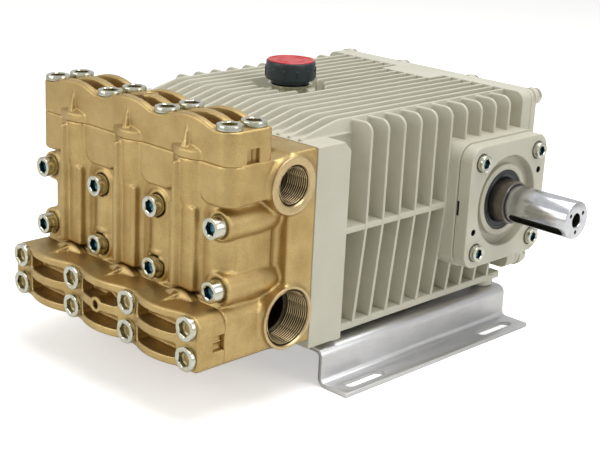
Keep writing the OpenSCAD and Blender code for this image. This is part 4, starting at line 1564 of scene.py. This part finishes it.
@dataclass
class Crankcase(Layout):
    """The finned housing: flange, fins, bearing housings, rear flange and cover, feet."""

    bottom_z: float = 39.5
    core_half: float = 104.0
    flange_back: float = -107.0
    flange_chamfer: float = 8.0
    step_down: float = 0.05
    top_pitch: float = 12.8
    fins_a_side: int = 8
    fin_half: float = 1.3
    fin_edge: float = 0.55
    root: float = 1.4
    root_h: float = 1.6
    side_pitch: float = 21.5
    first_side: float = -82.2
    side_fins: int = 10
    side_top: float = 226.0
    strip_y: float = 131.0
    rear_y: float = 145.0
    filler: tuple[float, float] = (-28.0, -26.5)
    filler_r: float = 33.0
    pad: tuple[float, float, float] = (-31.0, 30.0, 108.0)
    housing_x: float = 137.0
    housing_half: float = 59.0
    housing_corner: float = 16.5
    rib_z: tuple[float, float] = (133.0, 138.4)
    skirt_top: float = 46.5
    skirt_x: float = 118.0
    rear_low: float = 50.5
    rear_top: float = 227.5
    cover_h: float = 8.5
    foot_x: float = 108.0
    foot_y: tuple[float, float] = (-105.5, 117.5)
    foot_r: tuple[float, float] = (12.5, 11.0)
    foot_low: float = 34.2

    def build(self) -> None:
        """Builds every piece of the housing."""
        self.core()
        self.top_fins()
        self.side_fin_rows()
        self.rear_cover()
        self.rear_fittings()

    def core(self) -> None:
        """Builds the plain body: deck, flange, housings, ribs, rear flange and feet."""
        front, half, low, top = self.joint_y, self.half, self.bottom_z, self.case_top
        back, cut, rear = self.flange_back, self.flange_chamfer, self.strip_y
        plan = rounded_box((-self.core_half, front + 1), (self.core_half, rear + 2), 1)
        deck = edged(plan, Axis.Z, low, top - self.step_down, 0.6)
        profile = [(front, low), (back, low), (back, top - cut), (back - cut, top), (front, top)]
        flange = edged(profile, Axis.X, -half, half, 1.2)
        outline = rounded_box((self.rear_low, -half), (self.rear_top, half), 9.0)
        strip = edged(outline, Axis.Y, rear, self.rear_y, 0.9)
        x0, x1, y0 = self.pad
        pad = edged(rounded_box((x0, y0), (x1, rear + 2), 1.5), Axis.Z, top - 3, self.fin_top + 0.3, 0.7)
        right = merged(self.drive_side())
        collar = [(20.5, top - 2), (20.5, top + 1.4), (19.8, top + 2.2)]
        seat = turned(collar, 72, Facing.UP, (*self.filler, 0))
        data = merged([deck, flange, strip, pad, right, mirrored(right), seat])
        self.piece("crankcase_body", data, CREAM_ENAMEL, ["crankcase"], 33)

    def drive_side(self) -> list[MeshData]:
        """Draws what the body has on both sides: bearing housing, rib, skirt and feet.

        Returns:
            The parts on the drive side.
        """
        y, z, reach, inner = self.shaft_y, self.shaft_z, self.housing_half, 90
        back, rear, low = self.flange_back - 4, self.strip_y + 1, self.bottom_z
        square = rounded_box((y - reach, z - reach), (y + reach, z + reach), self.housing_corner)
        rib = rounded_box((self.rib_z[0], inner), (self.rib_z[1], self.half - 0.4), 1.0)
        skirt = rounded_box((low, inner), (self.skirt_top, self.skirt_x), 1.4)
        parts = [edged(square, Axis.X, 96, self.housing_x, 0.8), edged(rib, Axis.Y, back, rear, 0.5),
                 edged(skirt, Axis.Y, back, rear, 0.8)]
        for foot_y, r in zip(self.foot_y, self.foot_r):
            foot = [(r - 0.8, self.foot_low), (r, self.foot_low + 0.8), (r, 45.0)]
            parts.append(turned(foot, 64, Facing.UP, (self.foot_x, foot_y, 0)))
        return parts

    def fin_levels(self, wall: float, between: Sequence[float], crest: float) -> list[float]:
        """Lists the levels at which a fin is drawn.

        Args:
            wall: Wall that it stands on.
            between: Heights of the plain levels over the wall.
            crest: Its crest.

        Returns:
            The levels, close together in the root fillet and at the round crest.
        """
        low = [wall + rise for rise in (-1, 0, 0.4, 0.9, 1.6, 2.4, *between)]
        return low + [crest - fall for fall in (0.55, 0.28, 0.1, 0)]

    def fin_width(self, rise: float, fall: float, half: float, draft: float) -> float:
        """Half width of a fin on one level.

        Args:
            rise: Height over its wall.
            fall: Depth under its crest.
            half: Half width at the crest.
            draft: How much it widens per millimetre of depth.

        Returns:
            The half width with the root fillet and the round crest.
        """
        fillet = self.root * (1 - min(max(rise, 0) / self.root_h, 1)) ** 2
        edge = self.fin_edge
        return half + draft * fall + fillet - (edge - math.sqrt(edge ** 2 - max(edge - fall, 0) ** 2))

    def long_fin(self, x: float, lo: float, hi: float, ramp: bool) -> MeshData:
        """Draws one run of a long fin on top.

        Args:
            x: Its middle along the pump.
            lo: Front end.
            hi: Rear end.
            ramp: True where its front end is the ramp, False where it ends at the filler.

        Returns:
            The fin.
        """
        rings = []
        top, deck, ramp_z, nose = self.fin_top, self.case_top, 215.5, 4
        for z in self.fin_levels(deck, (4.5, 6.5, 8.5, 9.7, 10.7, 11.4), top):
            width = self.fin_width(z - deck, top - z, self.fin_half, 0.037)
            fall = nose - math.sqrt(nose ** 2 - max(z - top + nose, 0) ** 2)
            start = lo + fall
            if ramp:
                late = 1.1 * max(z - ramp_z - 10, 0) ** 2
                start = max(self.joint_y + 2.5, self.joint_y + 4 * (z - ramp_z) + late)
            end = hi - (fall if hi < 0 else 0)
            rings.append(pill(width, start, end, z))
        return stacked(rings, Facing.UP, (x, 0, 0))

    def top_fins(self) -> None:
        """Builds the long fins, left out around the filler and on the pad."""
        fins = []
        fx, fy = self.filler
        for i in range(-self.fins_a_side, self.fins_a_side + 1):
            x = i * self.top_pitch
            on_pad = self.pad[0] - 1 < x < self.pad[1] + 1
            end = self.pad[2] + 1 if on_pad else self.strip_y + 1
            gap = self.filler_r ** 2 - (x - fx) ** 2
            if gap > 0:
                reach = math.sqrt(gap)
                fins += [self.long_fin(x, 0, fy - reach, True), self.long_fin(x, fy + reach, end, False)]
            else:
                fins.append(self.long_fin(x, 0, end, True))
        self.piece("crankcase_top_fins", merged(fins), CREAM_ENAMEL, (), 40)

    def upright_fin(self, y: float) -> MeshData:
        """Draws one upright fin on the drive side.

        Args:
            y: Its middle.

        Returns:
            The fin.
        """
        out, wall, corner = self.half, self.core_half, 9.0
        lean = (self.shaft_z - self.bottom_z) / 9.0
        between = (6, 10, 13, 14.4, 15.6, 17, 18.4, 19.6, 20.8, 21.7)
        rings = []
        for x in self.fin_levels(wall, between, out):
            width = self.fin_width(x - wall, out - x, self.fin_half + 0.1, 0.03)
            low = max(self.skirt_top - 0.7, self.shaft_z - (out - x) * lean)
            high = self.side_top - corner + math.sqrt(corner ** 2 - max(x - out + corner, 0) ** 2)
            rings.append(pill(width, low, high, x))
        return stacked(rings, Facing.RIGHT, (0, y, 0))

    def side_fin_rows(self) -> None:
        """Builds the upright fins of both sides."""
        right = merged(self.upright_fin(self.first_side + i * self.side_pitch) for i in range(self.side_fins))
        self.piece("crankcase_side_fins", merged([right, mirrored(right)]), CREAM_ENAMEL, (), 40)

    def rear_cover(self) -> None:
        """Builds the rear cover with its bosses and screws."""
        low, top, seat, face = self.rear_low, self.rear_top, self.rear_y, self.rear_y + self.cover_h
        spots = [(x, z) for x in (-119.0, -45.0, 45.0, 119.0) for z in (low + 8, top - 8)]
        outline = rounded_box((low, -self.half), (top, self.half), 9.0)
        parts = [edged(outline, Axis.Y, seat + 0.35, face, 0.9)]
        for x, z in spots:
            parts.append(turned([(8.8, -3), (8.8, 3.2), (8.0, 4.0)], 64, Facing.BACK, (x, face, z)))
        for z, r in ((self.shaft_z, 19.0), (low + 24, 14.0)):
            parts.append(turned([(r, -3), (r, 0.6), (r - 0.6, 1.2)], 72, Facing.BACK, (0, face, z)))
        self.piece("rear_cover_casting", merged(parts), CREAM_ENAMEL, ["rear_cover"], 33)
        head = SocketHead(15.5, 5.5, 8.0, 4.0, 0.9)
        places = [(x, face + 4, z) for x, z in spots]
        heads = [head.mesh(Facing.BACK, at, 19 * i) for i, at in enumerate(places)]
        self.piece("rear_screw_heads", merged(heads), ZINC_PLATE, ["rear_cover_screws"], 30)
        sockets = [head.socket(Facing.BACK, at, 19 * i) for i, at in enumerate(places)]
        self.piece("rear_screw_sockets", merged(sockets), SOCKET_SHADE, (), 30)

    def rear_fittings(self) -> None:
        """Builds the oil sight glass and the drain plug."""
        face, back = self.rear_y + self.cover_h, Facing.BACK
        at = (0, face + 1.1, self.shaft_z)
        rim = [(15.0, -2.0), (15.0, 1.4), (14.4, 2.0), (12.2, 2.0), (11.4, 1.2), (11.2, -2.0)]
        self.piece("sight_glass_bezel", turned_loop(rim, 72, back, at), ZINC_PLATE, ["sight_glass_rim"], 30)
        lens = [(11.2, -1.8), (11.2, -0.2), (10.6, 0.2), (7.0, 0.45), (3.0, 0.6), (0.3, 0.6)]
        self.piece("sight_glass_lens", turned(lens, 48, back, at), SightGlass(), ["sight_glass_window"], 40)
        drain, at = SocketHead(24.0, 6.0, 10.0, 4.0, 1.0), (0, face + 1.2, self.rear_low + 24)
        self.piece("drain_plug_head", drain.mesh(back, at), ZINC_PLATE, ["oil_drain_plug"], 30)
        self.piece("drain_plug_socket", drain.socket(back, at), SOCKET_SHADE, (), 30)


@dataclass
class BearingCovers(Layout):
    """The square covers over the two shaft bearings, with their screws and the oil seal."""

    seat_x: float = 137.0
    thickness: float = 14.0
    width: float = 115.0
    corner: float = 15.0
    screw: float = 42.5
    recess_r: float = 43.0
    recess_d: float = 9.0
    ring_r: float = 34.0
    ring_h: float = 5.0
    seal_r: float = 28.0
    jack: tuple[float, float] = (47.0, 22.5)

    def build(self) -> None:
        """Builds both covers, their screws and the seal."""
        drive, blind = self.casting(True), mirrored(self.casting(False))
        self.piece("drive_bearing_casting", drive, CREAM_ENAMEL, ["drive_bearing_cover"], 33)
        self.piece("blind_bearing_casting", blind, CREAM_ENAMEL, ["blind_bearing_cover"], 33)
        head = SocketHead(15.5, 5.5, 8.2, 4.4, 0.8)
        spots = [self.on_face(a * self.screw, b * self.screw) for a in (-1, 1) for b in (-1, 1)]
        heads = merged(head.mesh(Facing.RIGHT, at, 25 * i + 10) for i, at in enumerate(spots))
        sockets = merged(head.socket(Facing.RIGHT, at, 25 * i + 10) for i, at in enumerate(spots))
        self.piece("drive_cover_heads", heads, ZINC_PLATE, ["drive_cover_screws"], 30)
        self.piece("blind_cover_heads", mirrored(heads), ZINC_PLATE, ["blind_cover_screws"], 30)
        self.piece("bearing_screw_sockets", merged([sockets, mirrored(sockets)]), SOCKET_SHADE, (), 30)
        collar = [(8.7, -0.5), (8.7, 0.08), (7.9, 0.08), (7.9, -0.5)]
        collars = merged(turned_loop(collar, 48, Facing.RIGHT, at) for at in spots)
        self.piece("screw_seat_shadows", merged([collars, mirrored(collars)]), SHADED_IRON, (), 30)
        self.openings()
        self.seal()

    def casting(self, drive: bool) -> MeshData:
        """Cuts one cover on the drive side.

        Args:
            drive: True for the cover with the shaft opening.

        Returns:
            The cover's mesh.
        """
        y, z, x0, x1 = self.shaft_y, self.shaft_z, self.seat_x, self.seat_x + self.thickness
        half = self.width / 2
        outline = rounded_box((y - half, z - half), (y + half, z + half), self.corner)
        plate = edged(outline, Axis.X, x0 + 0.35, x1, 1.3)
        cutters = [slot_block((x0 + 0.6, y - half - 4, z - 7), (x0 + 3.4, y - half + 5, z + 7))]
        drill = [(3.1, -9), (3.1, -0.2), (3.3, 0), (3.3, 3)]
        cutters += [turned(drill, 32, Facing.RIGHT, at) for at in self.jack_holes()]
        if drive:
            floor, rim, top = -self.recess_d, self.ring_h - self.recess_d, self.recess_r
            bore = self.seal_r + 0.4
            profile = [(bore, -24), (bore, rim - 0.5), (bore + 0.5, rim), (self.ring_r - 0.5, rim),
                       (self.ring_r, rim - 0.5), (self.ring_r, floor + 0.5), (self.ring_r + 0.5, floor),
                       (top - 0.6, floor), (top, floor + 0.6), (top, -0.6), (top + 0.6, 0), (top + 0.6, 4)]
            cutters.append(turned(profile, 128, Facing.RIGHT, (x1, y, z)))
        return bevelled(plate, cutters, 0.0)

    def on_face(self, y: float, z: float) -> Vec3:
        """Place on the drive cover's face, seen from the shaft's axis."""
        return (self.seat_x + self.thickness, self.shaft_y + y, self.shaft_z + z)

    def jack_holes(self) -> list[Vec3]:
        """Mouths of the two small holes with which a cover is pressed off."""
        return [self.on_face(s * self.jack[0], s * self.jack[1]) for s in (-1, 1)]

    def openings(self) -> None:
        """Puts dark sheets of painted shade into the jacking holes and the pry slots of both covers."""
        z, x0, wall = self.shaft_z, self.seat_x, self.shaft_y - self.width / 2
        parts = [slot_block((x0 + 0.5, wall + 0.5, z - 7.2), (x0 + 3.5, wall + 4, z + 7.2))]
        hole_shade = [(3.05, -0.3), (3.05, -8.8), (0.2, -8.9)]
        parts += [open_ended(turned(hole_shade, 32, Facing.RIGHT, at)) for at in self.jack_holes()]
        both = merged(parts)
        self.piece("cover_opening_shade", merged([both, mirrored(both)]), SHADED_IRON, (), 30)

    def seal(self) -> None:
        """Builds the rubber oil seal with its dust lip, and a ring of painted shade behind it."""
        at = (self.seat_x + self.thickness - self.recess_d + self.ring_h - 1.0, self.shaft_y, self.shaft_z)
        rim = self.seal_r + 0.2
        lips = [(rim, -8), (rim, -0.4), (27.7, 0), (25.6, 0), (25.2, -0.5), (24.6, -0.5), (24.2, 0.1),
                (22.2, 0.1), (21.2, -0.6), (20.15, -1.6), (20.15, -8)]
        self.piece("oil_seal_ring", turned_loop(lips, 96, Facing.RIGHT, at), NITRILE_RUBBER, ["oil_seal"], 40)
        # A dark ring of painted shade in the bore behind the seal.
        back = [(28.5, -11.0), (28.5, -8.2), (20.5, -8.2), (20.5, -11.0)]
        self.piece("bearing_bore_shade", turned_loop(back, 64, Facing.RIGHT, at), SHADED_IRON, (), 30)


@dataclass
class DriveShaft(Layout):
    """The keyed shaft end with its seal journal; it turns with the crankshaft."""

    radius: float = 17.5
    journal_r: float = 20.0
    journal_x: float = 162.0
    end_x: float = 228.0
    inner_x: float = 120.0
    key_w: float = 10.0
    key_d: float = 5.0
    key_from: float = 165.0
    key_to: float = 223.0
    key_angle: float = 38.0
    circle_r: float = 11.0
    circle_at: tuple[float, ...] = (30.0, 150.0, 270.0)

    def build(self) -> None:
        """Builds the shaft and its journal."""
        at = (0, self.shaft_y, self.shaft_z)
        r, end, j = self.radius, self.end_x, self.journal_x
        stub = [(r - 1, j - 0.2), (r, j), (r, end - 1.0), (r - 0.3, end - 0.3), (r - 1.0, end)]
        cutters = [self.keyway(), self.hole(0, 0, 6.5, 22, 0.8)]
        for turn in np.radians(self.circle_at):
            y, z = self.circle_r * math.cos(turn), self.circle_r * math.sin(turn)
            cutters.append(self.hole(y, z, 1.85, 10, 0.2))

        def inner(middles: Array) -> Array:
            """Tells which faces lie in the keyway or in a hole."""
            reach = np.hypot(middles[:, 1] - self.shaft_y, middles[:, 2] - self.shaft_z)
            return (reach < r - 0.6) & (middles[:, 0] > j + 1) & (middles[:, 0] < end - 0.6)

        whole = bevelled(turned(stub, 144, Facing.RIGHT, at), cutters, 0.25)
        outside, inside = parted(whole, inner)
        self.piece("shaft_stub", outside, GROUND_STEEL, ["drive_shaft"], 30)
        # The keyway and the holes get steel with painted shade.
        self.piece("shaft_keyway_and_holes", inside, KEYWAY_SHADE_STEEL, (), 30)
        journal = [(self.journal_r, self.inner_x), (self.journal_r, j - 1.4), (self.journal_r - 0.3, j - 1.0),
                   (r + 0.4, j - 0.8), (r - 0.5, j - 0.7), (r - 0.5, j - 0.15), (r - 1, j)]
        self.piece("shaft_journal", turned(journal, 144, Facing.RIGHT, at), TURNED_STEEL, (), 30)
        # The groove between the journal and the stub gets a dark ring of painted shade.
        groove = [(r - 0.6, j - 0.75), (r + 0.9, j - 0.75), (r + 0.15, j - 0.05), (r - 0.6, j - 0.05)]
        self.piece("shaft_groove_shade", turned_loop(groove, 144, Facing.RIGHT, at), SHADED_IRON, (), 30)

    def keyway(self) -> MeshData:
        """Makes the cutter for the keyway.

        Returns:
            A long block with round ends, sunk into the shaft.
        """
        r, points = self.key_w / 2, []
        for end, x in ((1, self.key_to - r), (-1, self.key_from + r)):
            for step in range(17):
                angle = math.pi * step / 16 - math.pi / 2 + (0 if end > 0 else math.pi)
                points.append((x + r * math.cos(angle), r * math.sin(angle)))
        levels = (self.radius - self.key_d, self.radius + 6)
        verts, faces = stacked([np.array([(x, w, h) for x, w in points]) for h in levels])
        tilt = math.radians(self.key_angle)
        out = np.array([0, -math.cos(tilt), -math.sin(tilt)])
        side = np.cross(out, [1, 0, 0])
        placed = verts[:, :1] * np.array([1, 0, 0]) + verts[:, 1:2] * side + verts[:, 2:] * out
        return placed + np.array([0, self.shaft_y, self.shaft_z]), faces

    def hole(self, y: float, z: float, radius: float, depth: float, flare: float) -> MeshData:
        """Makes the cutter for a hole in the shaft's end.

        Args:
            y: Place beside the axis.
            z: Place above the axis.
            radius: Radius.
            depth: Depth.
            flare: How much wider its mouth is.

        Returns:
            The cutter.
        """
        at = (self.end_x, self.shaft_y + y, self.shaft_z + z)
        profile = [(radius * 0.2, -depth - 1.5), (radius, -depth), (radius, -flare),
                   (radius + flare, 0), (radius + flare, 3)]
        return turned(profile, 40, Facing.RIGHT, at)


@dataclass
class OilFiller(Layout):
    """Filler neck, ribbed cap and red disc."""

    at: Vec3 = (-28.0, -26.5, 227.7)
    cap_r: float = 24.0
    cap_h: float = 20.8
    collar_r: float = 18.2
    collar_h: float = 3.4
    disc_r: float = 22.0
    dots: int = 12
    dot_r: float = 1.1
    dot_h: float = 0.5
    lug_h: float = 0.9
    lug_half: float = 3.2

    def build(self) -> None:
        """Builds the neck, the cap and its disc."""
        self.cap()
        self.disc()
        low = self.case_top - self.at[2] + 1.5
        neck = [(20.0, low), (20.0, low + 2.2), (19.4, low + 2.8), (17.2, low + 2.8), (17.0, low + 3.2),
                (17.0, -3.2), (20.4, -2.9), (20.8, -2.5), (20.8, -0.7), (20.4, -0.3), (17.0, -0.2)]
        self.piece("filler_neck_tube", turned(neck, 72, Facing.UP, self.at), ZINC_PLATE, ["filler_neck"], 30)

    def cap(self) -> None:
        """Builds the cap: collar, raised dots around it and two lugs."""
        n, r, h, step = 384, self.cap_r - self.lug_h, self.cap_h, self.collar_h
        angle = np.arange(n) * 2 * math.pi / n
        pitch = 2 * math.pi / self.dots
        off = np.abs((angle + pitch / 2) % pitch - pitch / 2) * self.cap_r
        dot = self.dot_h * np.sqrt(np.maximum(1 - (off / self.dot_r) ** 2, 0))
        aside = np.abs((angle - math.pi / 4 + math.pi / 2) % math.pi - math.pi / 2) * self.cap_r
        lug = self.lug_h * np.clip((self.lug_half - aside) / 0.9, 0, 1)
        collar, disc = self.collar_r, self.disc_r
        # Radius and height of each level, then 1 where it carries the dots and 1 where the lugs.
        levels = [(collar - 0.6, 0.0, 0, 0), (collar, 0.5, 0, 0), (collar, step - 0.4, 0, 0),
                  (collar + 0.5, step, 0, 0), (r - 1.0, step, 0, 0), (r - 0.2, step + 0.5, 0, 0),
                  (r, step + 1.6, 0, 0), (r, step + 2.2, 0, 1), (r, h - 9.2, 0, 1), (r, h - 8.4, 1, 1),
                  (r, h - 7.2, 1, 1), (r, h - 6.4, 0, 1), (r, h - 5.4, 0, 1), (r, h - 4.8, 0, 0),
                  (r, h - 1.0, 0, 0), (r - 0.2, h - 0.4, 0, 0), (r - 0.7, h, 0, 0),
                  (disc + 0.2, h, 0, 0), (disc + 0.1, h - 1.2, 0, 0)]
        rings = []
        for radius, z, with_dot, with_lug in levels:
            rr = radius + np.maximum(with_dot * dot, with_lug * lug)
            rings.append(np.stack([rr * np.cos(angle), rr * np.sin(angle), np.full(n, z)], axis=1))
        self.piece("filler_cap_body", stacked(rings, Facing.UP, self.at), BLACK_NYLON, ["filler_cap"], 40)

    def disc(self) -> None:
        """Builds the red disc with its shallow groove and raised ring."""
        r, low, top = self.disc_r, self.cap_h - 1.2, self.cap_h + 1.0
        profile = [(r, low), (r, top - 0.5), (r - 0.6, top), (r - 2.6, top), (r - 3.0, top - 0.5),
                   (r - 8.6, top - 0.5), (r - 9.0, top - 0.1), (r - 9.8, top - 0.1), (r - 10.2, top - 0.5),
                   (0.4, top - 0.5)]
        insert = turned(profile, 96, Facing.UP, self.at)
        self.piece("filler_disc_insert", insert, RED_ABS, ["filler_cap_disc"], 30)


@dataclass
class MountingRails(Layout):
    """Two bent rails with slots, and the screws that hold them to the feet."""

    web: float = 128.0
    thickness: float = 4.0
    height: float = 34.0
    length: float = 260.0
    upper_w: float = 44.0
    foot_w: float = 30.0
    bend: float = 8.0
    slot_x: float = 145.0
    slot_y: float = 93.0
    slot_w: float = 11.0
    slot_l: float = 48.0
    screw_x: float = 108.0
    screw_y: tuple[float, float] = (-105.5, 117.5)

    def build(self) -> None:
        """Builds both rails and their screws."""
        right = self.rail()
        self.piece("right_rail_sheet", right, BRUSHED_ALUMINIUM, ["right_foot_rail"], 28)
        self.piece("left_rail_sheet", mirrored(right), BRUSHED_ALUMINIUM, ["left_foot_rail"], 28)
        head = SocketHead(15.5, 5.5, 8.0, 4.0, 0.8)
        spots = [(self.screw_x, y, self.height - self.thickness) for y in self.screw_y]
        heads = merged(head.mesh(Facing.DOWN, at) for at in spots)
        sockets = merged(head.socket(Facing.DOWN, at) for at in spots)
        self.piece("rail_screw_sockets", merged([sockets, mirrored(sockets)]), SOCKET_SHADE, (), 30)
        self.piece("right_rail_heads", heads, ZINC_PLATE, ["right_rail_screws"], 30)
        self.piece("left_rail_heads", mirrored(heads), ZINC_PLATE, ["left_rail_screws"], 30)

    def rail(self) -> MeshData:
        """Bends the sheet and cuts its slots.

        Returns:
            The rail on the drive side.
        """
        outer, inner = self.bend, self.bend - self.thickness
        web_in = self.web - self.thickness
        upper = (self.web - outer, self.height - outer)
        lower = (web_in + outer, outer)

        far = web_in + self.thickness + self.foot_w
        near = self.web - self.upper_w
        points = [(near, self.height - self.thickness)]
        points += corner_arc(upper, inner, 0, 9)[::-1]
        points += corner_arc(lower, outer, 180, 9)
        points += [(far, 0.0), (far, self.thickness)]
        points += corner_arc(lower, inner, 180, 9)[::-1]
        points += corner_arc(upper, outer, 0, 9)
        points += [(near, self.height)]
        solid = drawn_out(points, -self.length / 2, self.length / 2)
        slots = [slot_solid((self.slot_x, s * self.slot_y), self.slot_w, self.slot_l, -3, 7) for s in (-1, 1)]
        return bevelled(solid, slots, 0.45)


@dataclass
class Studio:
    """Floor, light and camera."""

    camera_at: Vec3 = (0.839, -0.904, 0.477)
    right: Vec3 = (0.7091, 0.7034, 0.0474)
    up: Vec3 = (-0.2444, 0.1822, 0.9523)
    back: Vec3 = (0.6613, -0.6870, 0.3012)
    lens: float = 79.9
    floor_size: float = 14.0
    paper_lift: float = 0.46
    fill_light: float = 0.42
    gloss_light: float = 0.72

    def build(self) -> None:
        """Builds the whole studio."""
        self.camera()
        self.world()
        self.floor()
        self.lamps()

    def camera(self) -> None:
        """Places the camera at the photograph's viewing angle."""
        data = bpy.data.cameras.new("studio_camera")
        data.lens, data.sensor_width = self.lens, 36.0
        data.clip_start, data.clip_end = 0.05, 30.0
        obj = bpy.data.objects.new("studio_camera", data)
        bpy.context.scene.collection.objects.link(obj)
        turn = Matrix((self.right, self.up, self.back)).transposed().to_4x4()
        obj.matrix_world = Matrix.Translation(self.camera_at) @ turn
        bpy.context.scene.camera = obj
        bpy.context.scene.view_settings.view_transform = "Standard"

    def world(self) -> None:
        """Lights the pump evenly and shows a white background to the camera and in reflections."""
        world = bpy.data.worlds.new("studio_world")
        bpy.context.scene.world = world
        world.use_nodes = True
        tree = world.node_tree
        tree.nodes.clear()
        rays, seen = self.seen_directly(tree)
        plain = put(tree, "ShaderNodeBackground", Color=linear("#FFFFFF"), Strength=self.fill_light)
        gloss = put(tree, "ShaderNodeBackground", Color=linear("#FFFFFF"), Strength=self.gloss_light)
        white = put(tree, "ShaderNodeBackground", Color=linear("#FFFFFF"), Strength=1.0)
        lit = put(tree, "ShaderNodeMixShader", in0=rays["Is Glossy Ray"], in1=plain.outputs[0],
                  in2=gloss.outputs[0])
        shown = put(tree, "ShaderNodeMixShader", in0=seen, in1=lit.outputs[0], in2=white.outputs[0])
        put(tree, "ShaderNodeOutputWorld", Surface=shown.outputs[0])

    def seen_directly(self, tree: bpy.types.NodeTree) -> tuple[Any, bpy.types.NodeSocket]:
        """Tells rays that the camera sees directly or through glass from all others.

        Args:
            tree: Node tree that gets the nodes.

        Returns:
            The kinds of ray, and a value that is 1 where the ray is seen directly.
        """
        rays = put(tree, "ShaderNodeLightPath").outputs
        seen = put(tree, "ShaderNodeMath", {"operation": "MAXIMUM"}, in0=rays["Is Camera Ray"],
                   in1=rays["Is Transmission Ray"])
        return rays, seen.outputs[0]

    def floor(self) -> None:
        """Lays a plain white floor that keeps the pump's shadow."""
        half = self.floor_size / 2
        mesh = bpy.data.meshes.new("studio_floor")
        square = [(-half, -half, 0), (half, -half, 0), (half, half, 0), (-half, half, 0)]
        mesh.from_pydata(square, [], [(0, 1, 2, 3)])
        obj = bpy.data.objects.new("studio_floor", mesh)
        bpy.context.scene.collection.objects.link(obj)
        made = bpy.data.materials.new("White studio paper")
        made.use_nodes = True
        tree = made.node_tree
        tree.nodes.clear()
        _, seen = self.seen_directly(tree)
        paper = put(tree, "ShaderNodeBsdfDiffuse", Color=linear("#F4F3F0"))
        lift = put(tree, "ShaderNodeMath", {"operation": "MULTIPLY"}, in0=seen, in1=self.paper_lift)
        glow = put(tree, "ShaderNodeEmission", Color=linear("#FFFFFF"), Strength=lift.outputs[0])
        both = put(tree, "ShaderNodeAddShader", in0=paper.outputs[0], in1=glow.outputs[0])
        put(tree, "ShaderNodeOutputMaterial", Surface=both.outputs[0])
        mesh.materials.append(made)
        obj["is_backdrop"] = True

    def lamp(self, name: str, at: Vec3, target: Vec3, size: tuple[float, float], power: float) -> None:
        """Hangs one soft box.

        Args:
            name: Name of the lamp.
            at: Its place in metres.
            target: Where it points.
            size: Its two sides in metres.
            power: Its power in watts.
        """
        data = bpy.data.lights.new(name, "AREA")
        data.shape, data.size, data.size_y, data.energy = "RECTANGLE", size[0], size[1], power
        obj = bpy.data.objects.new(name, data)
        bpy.context.scene.collection.objects.link(obj)
        back = (Matrix.Translation(at).translation - Matrix.Translation(target).translation).normalized()
        obj.matrix_world = Matrix.Translation(at) @ back.to_track_quat("Z", "Y").to_matrix().to_4x4()

    def lamps(self) -> None:
        """Hangs the soft boxes: a strong one above, a large one front left, a weak one on the right."""
        self.lamp("top_softbox", (0.25, 0.15, 1.7), (0, 0, 0.1), (1.6, 1.2), 25)
        self.lamp("right_softbox", (1.9, 0.35, 1.0), (0, 0, 0.15), (1.0, 1.2), 8.5)
        self.lamp("front_softbox", (-0.7, -1.9, 0.9), (0, 0, 0.15), (1.6, 1.2), 12)


def corners() -> list[list[float]]:
    """Lowest and highest corner of everything that shows, as plain numbers."""
    return [[float(v) for v in corner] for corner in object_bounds()]


def main() -> None:
    """Loads the frame, builds every sub-assembly in order and logs its pieces."""
    logging.basicConfig(level=logging.INFO, format="%(message)s")
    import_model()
    Studio().build()
    groups: list[Any] = [
        Manifold(), ValveCover(side=CoverSide.DELIVERY), ValveCover(side=CoverSide.SUCTION), Crankcase(),
        BearingCovers(), DriveShaft(body=CRANKSHAFT), OilFiller(), MountingRails(),
    ]
    for group in groups:
        group.build()
        group.report()


if __name__ == "__main__":
    main()
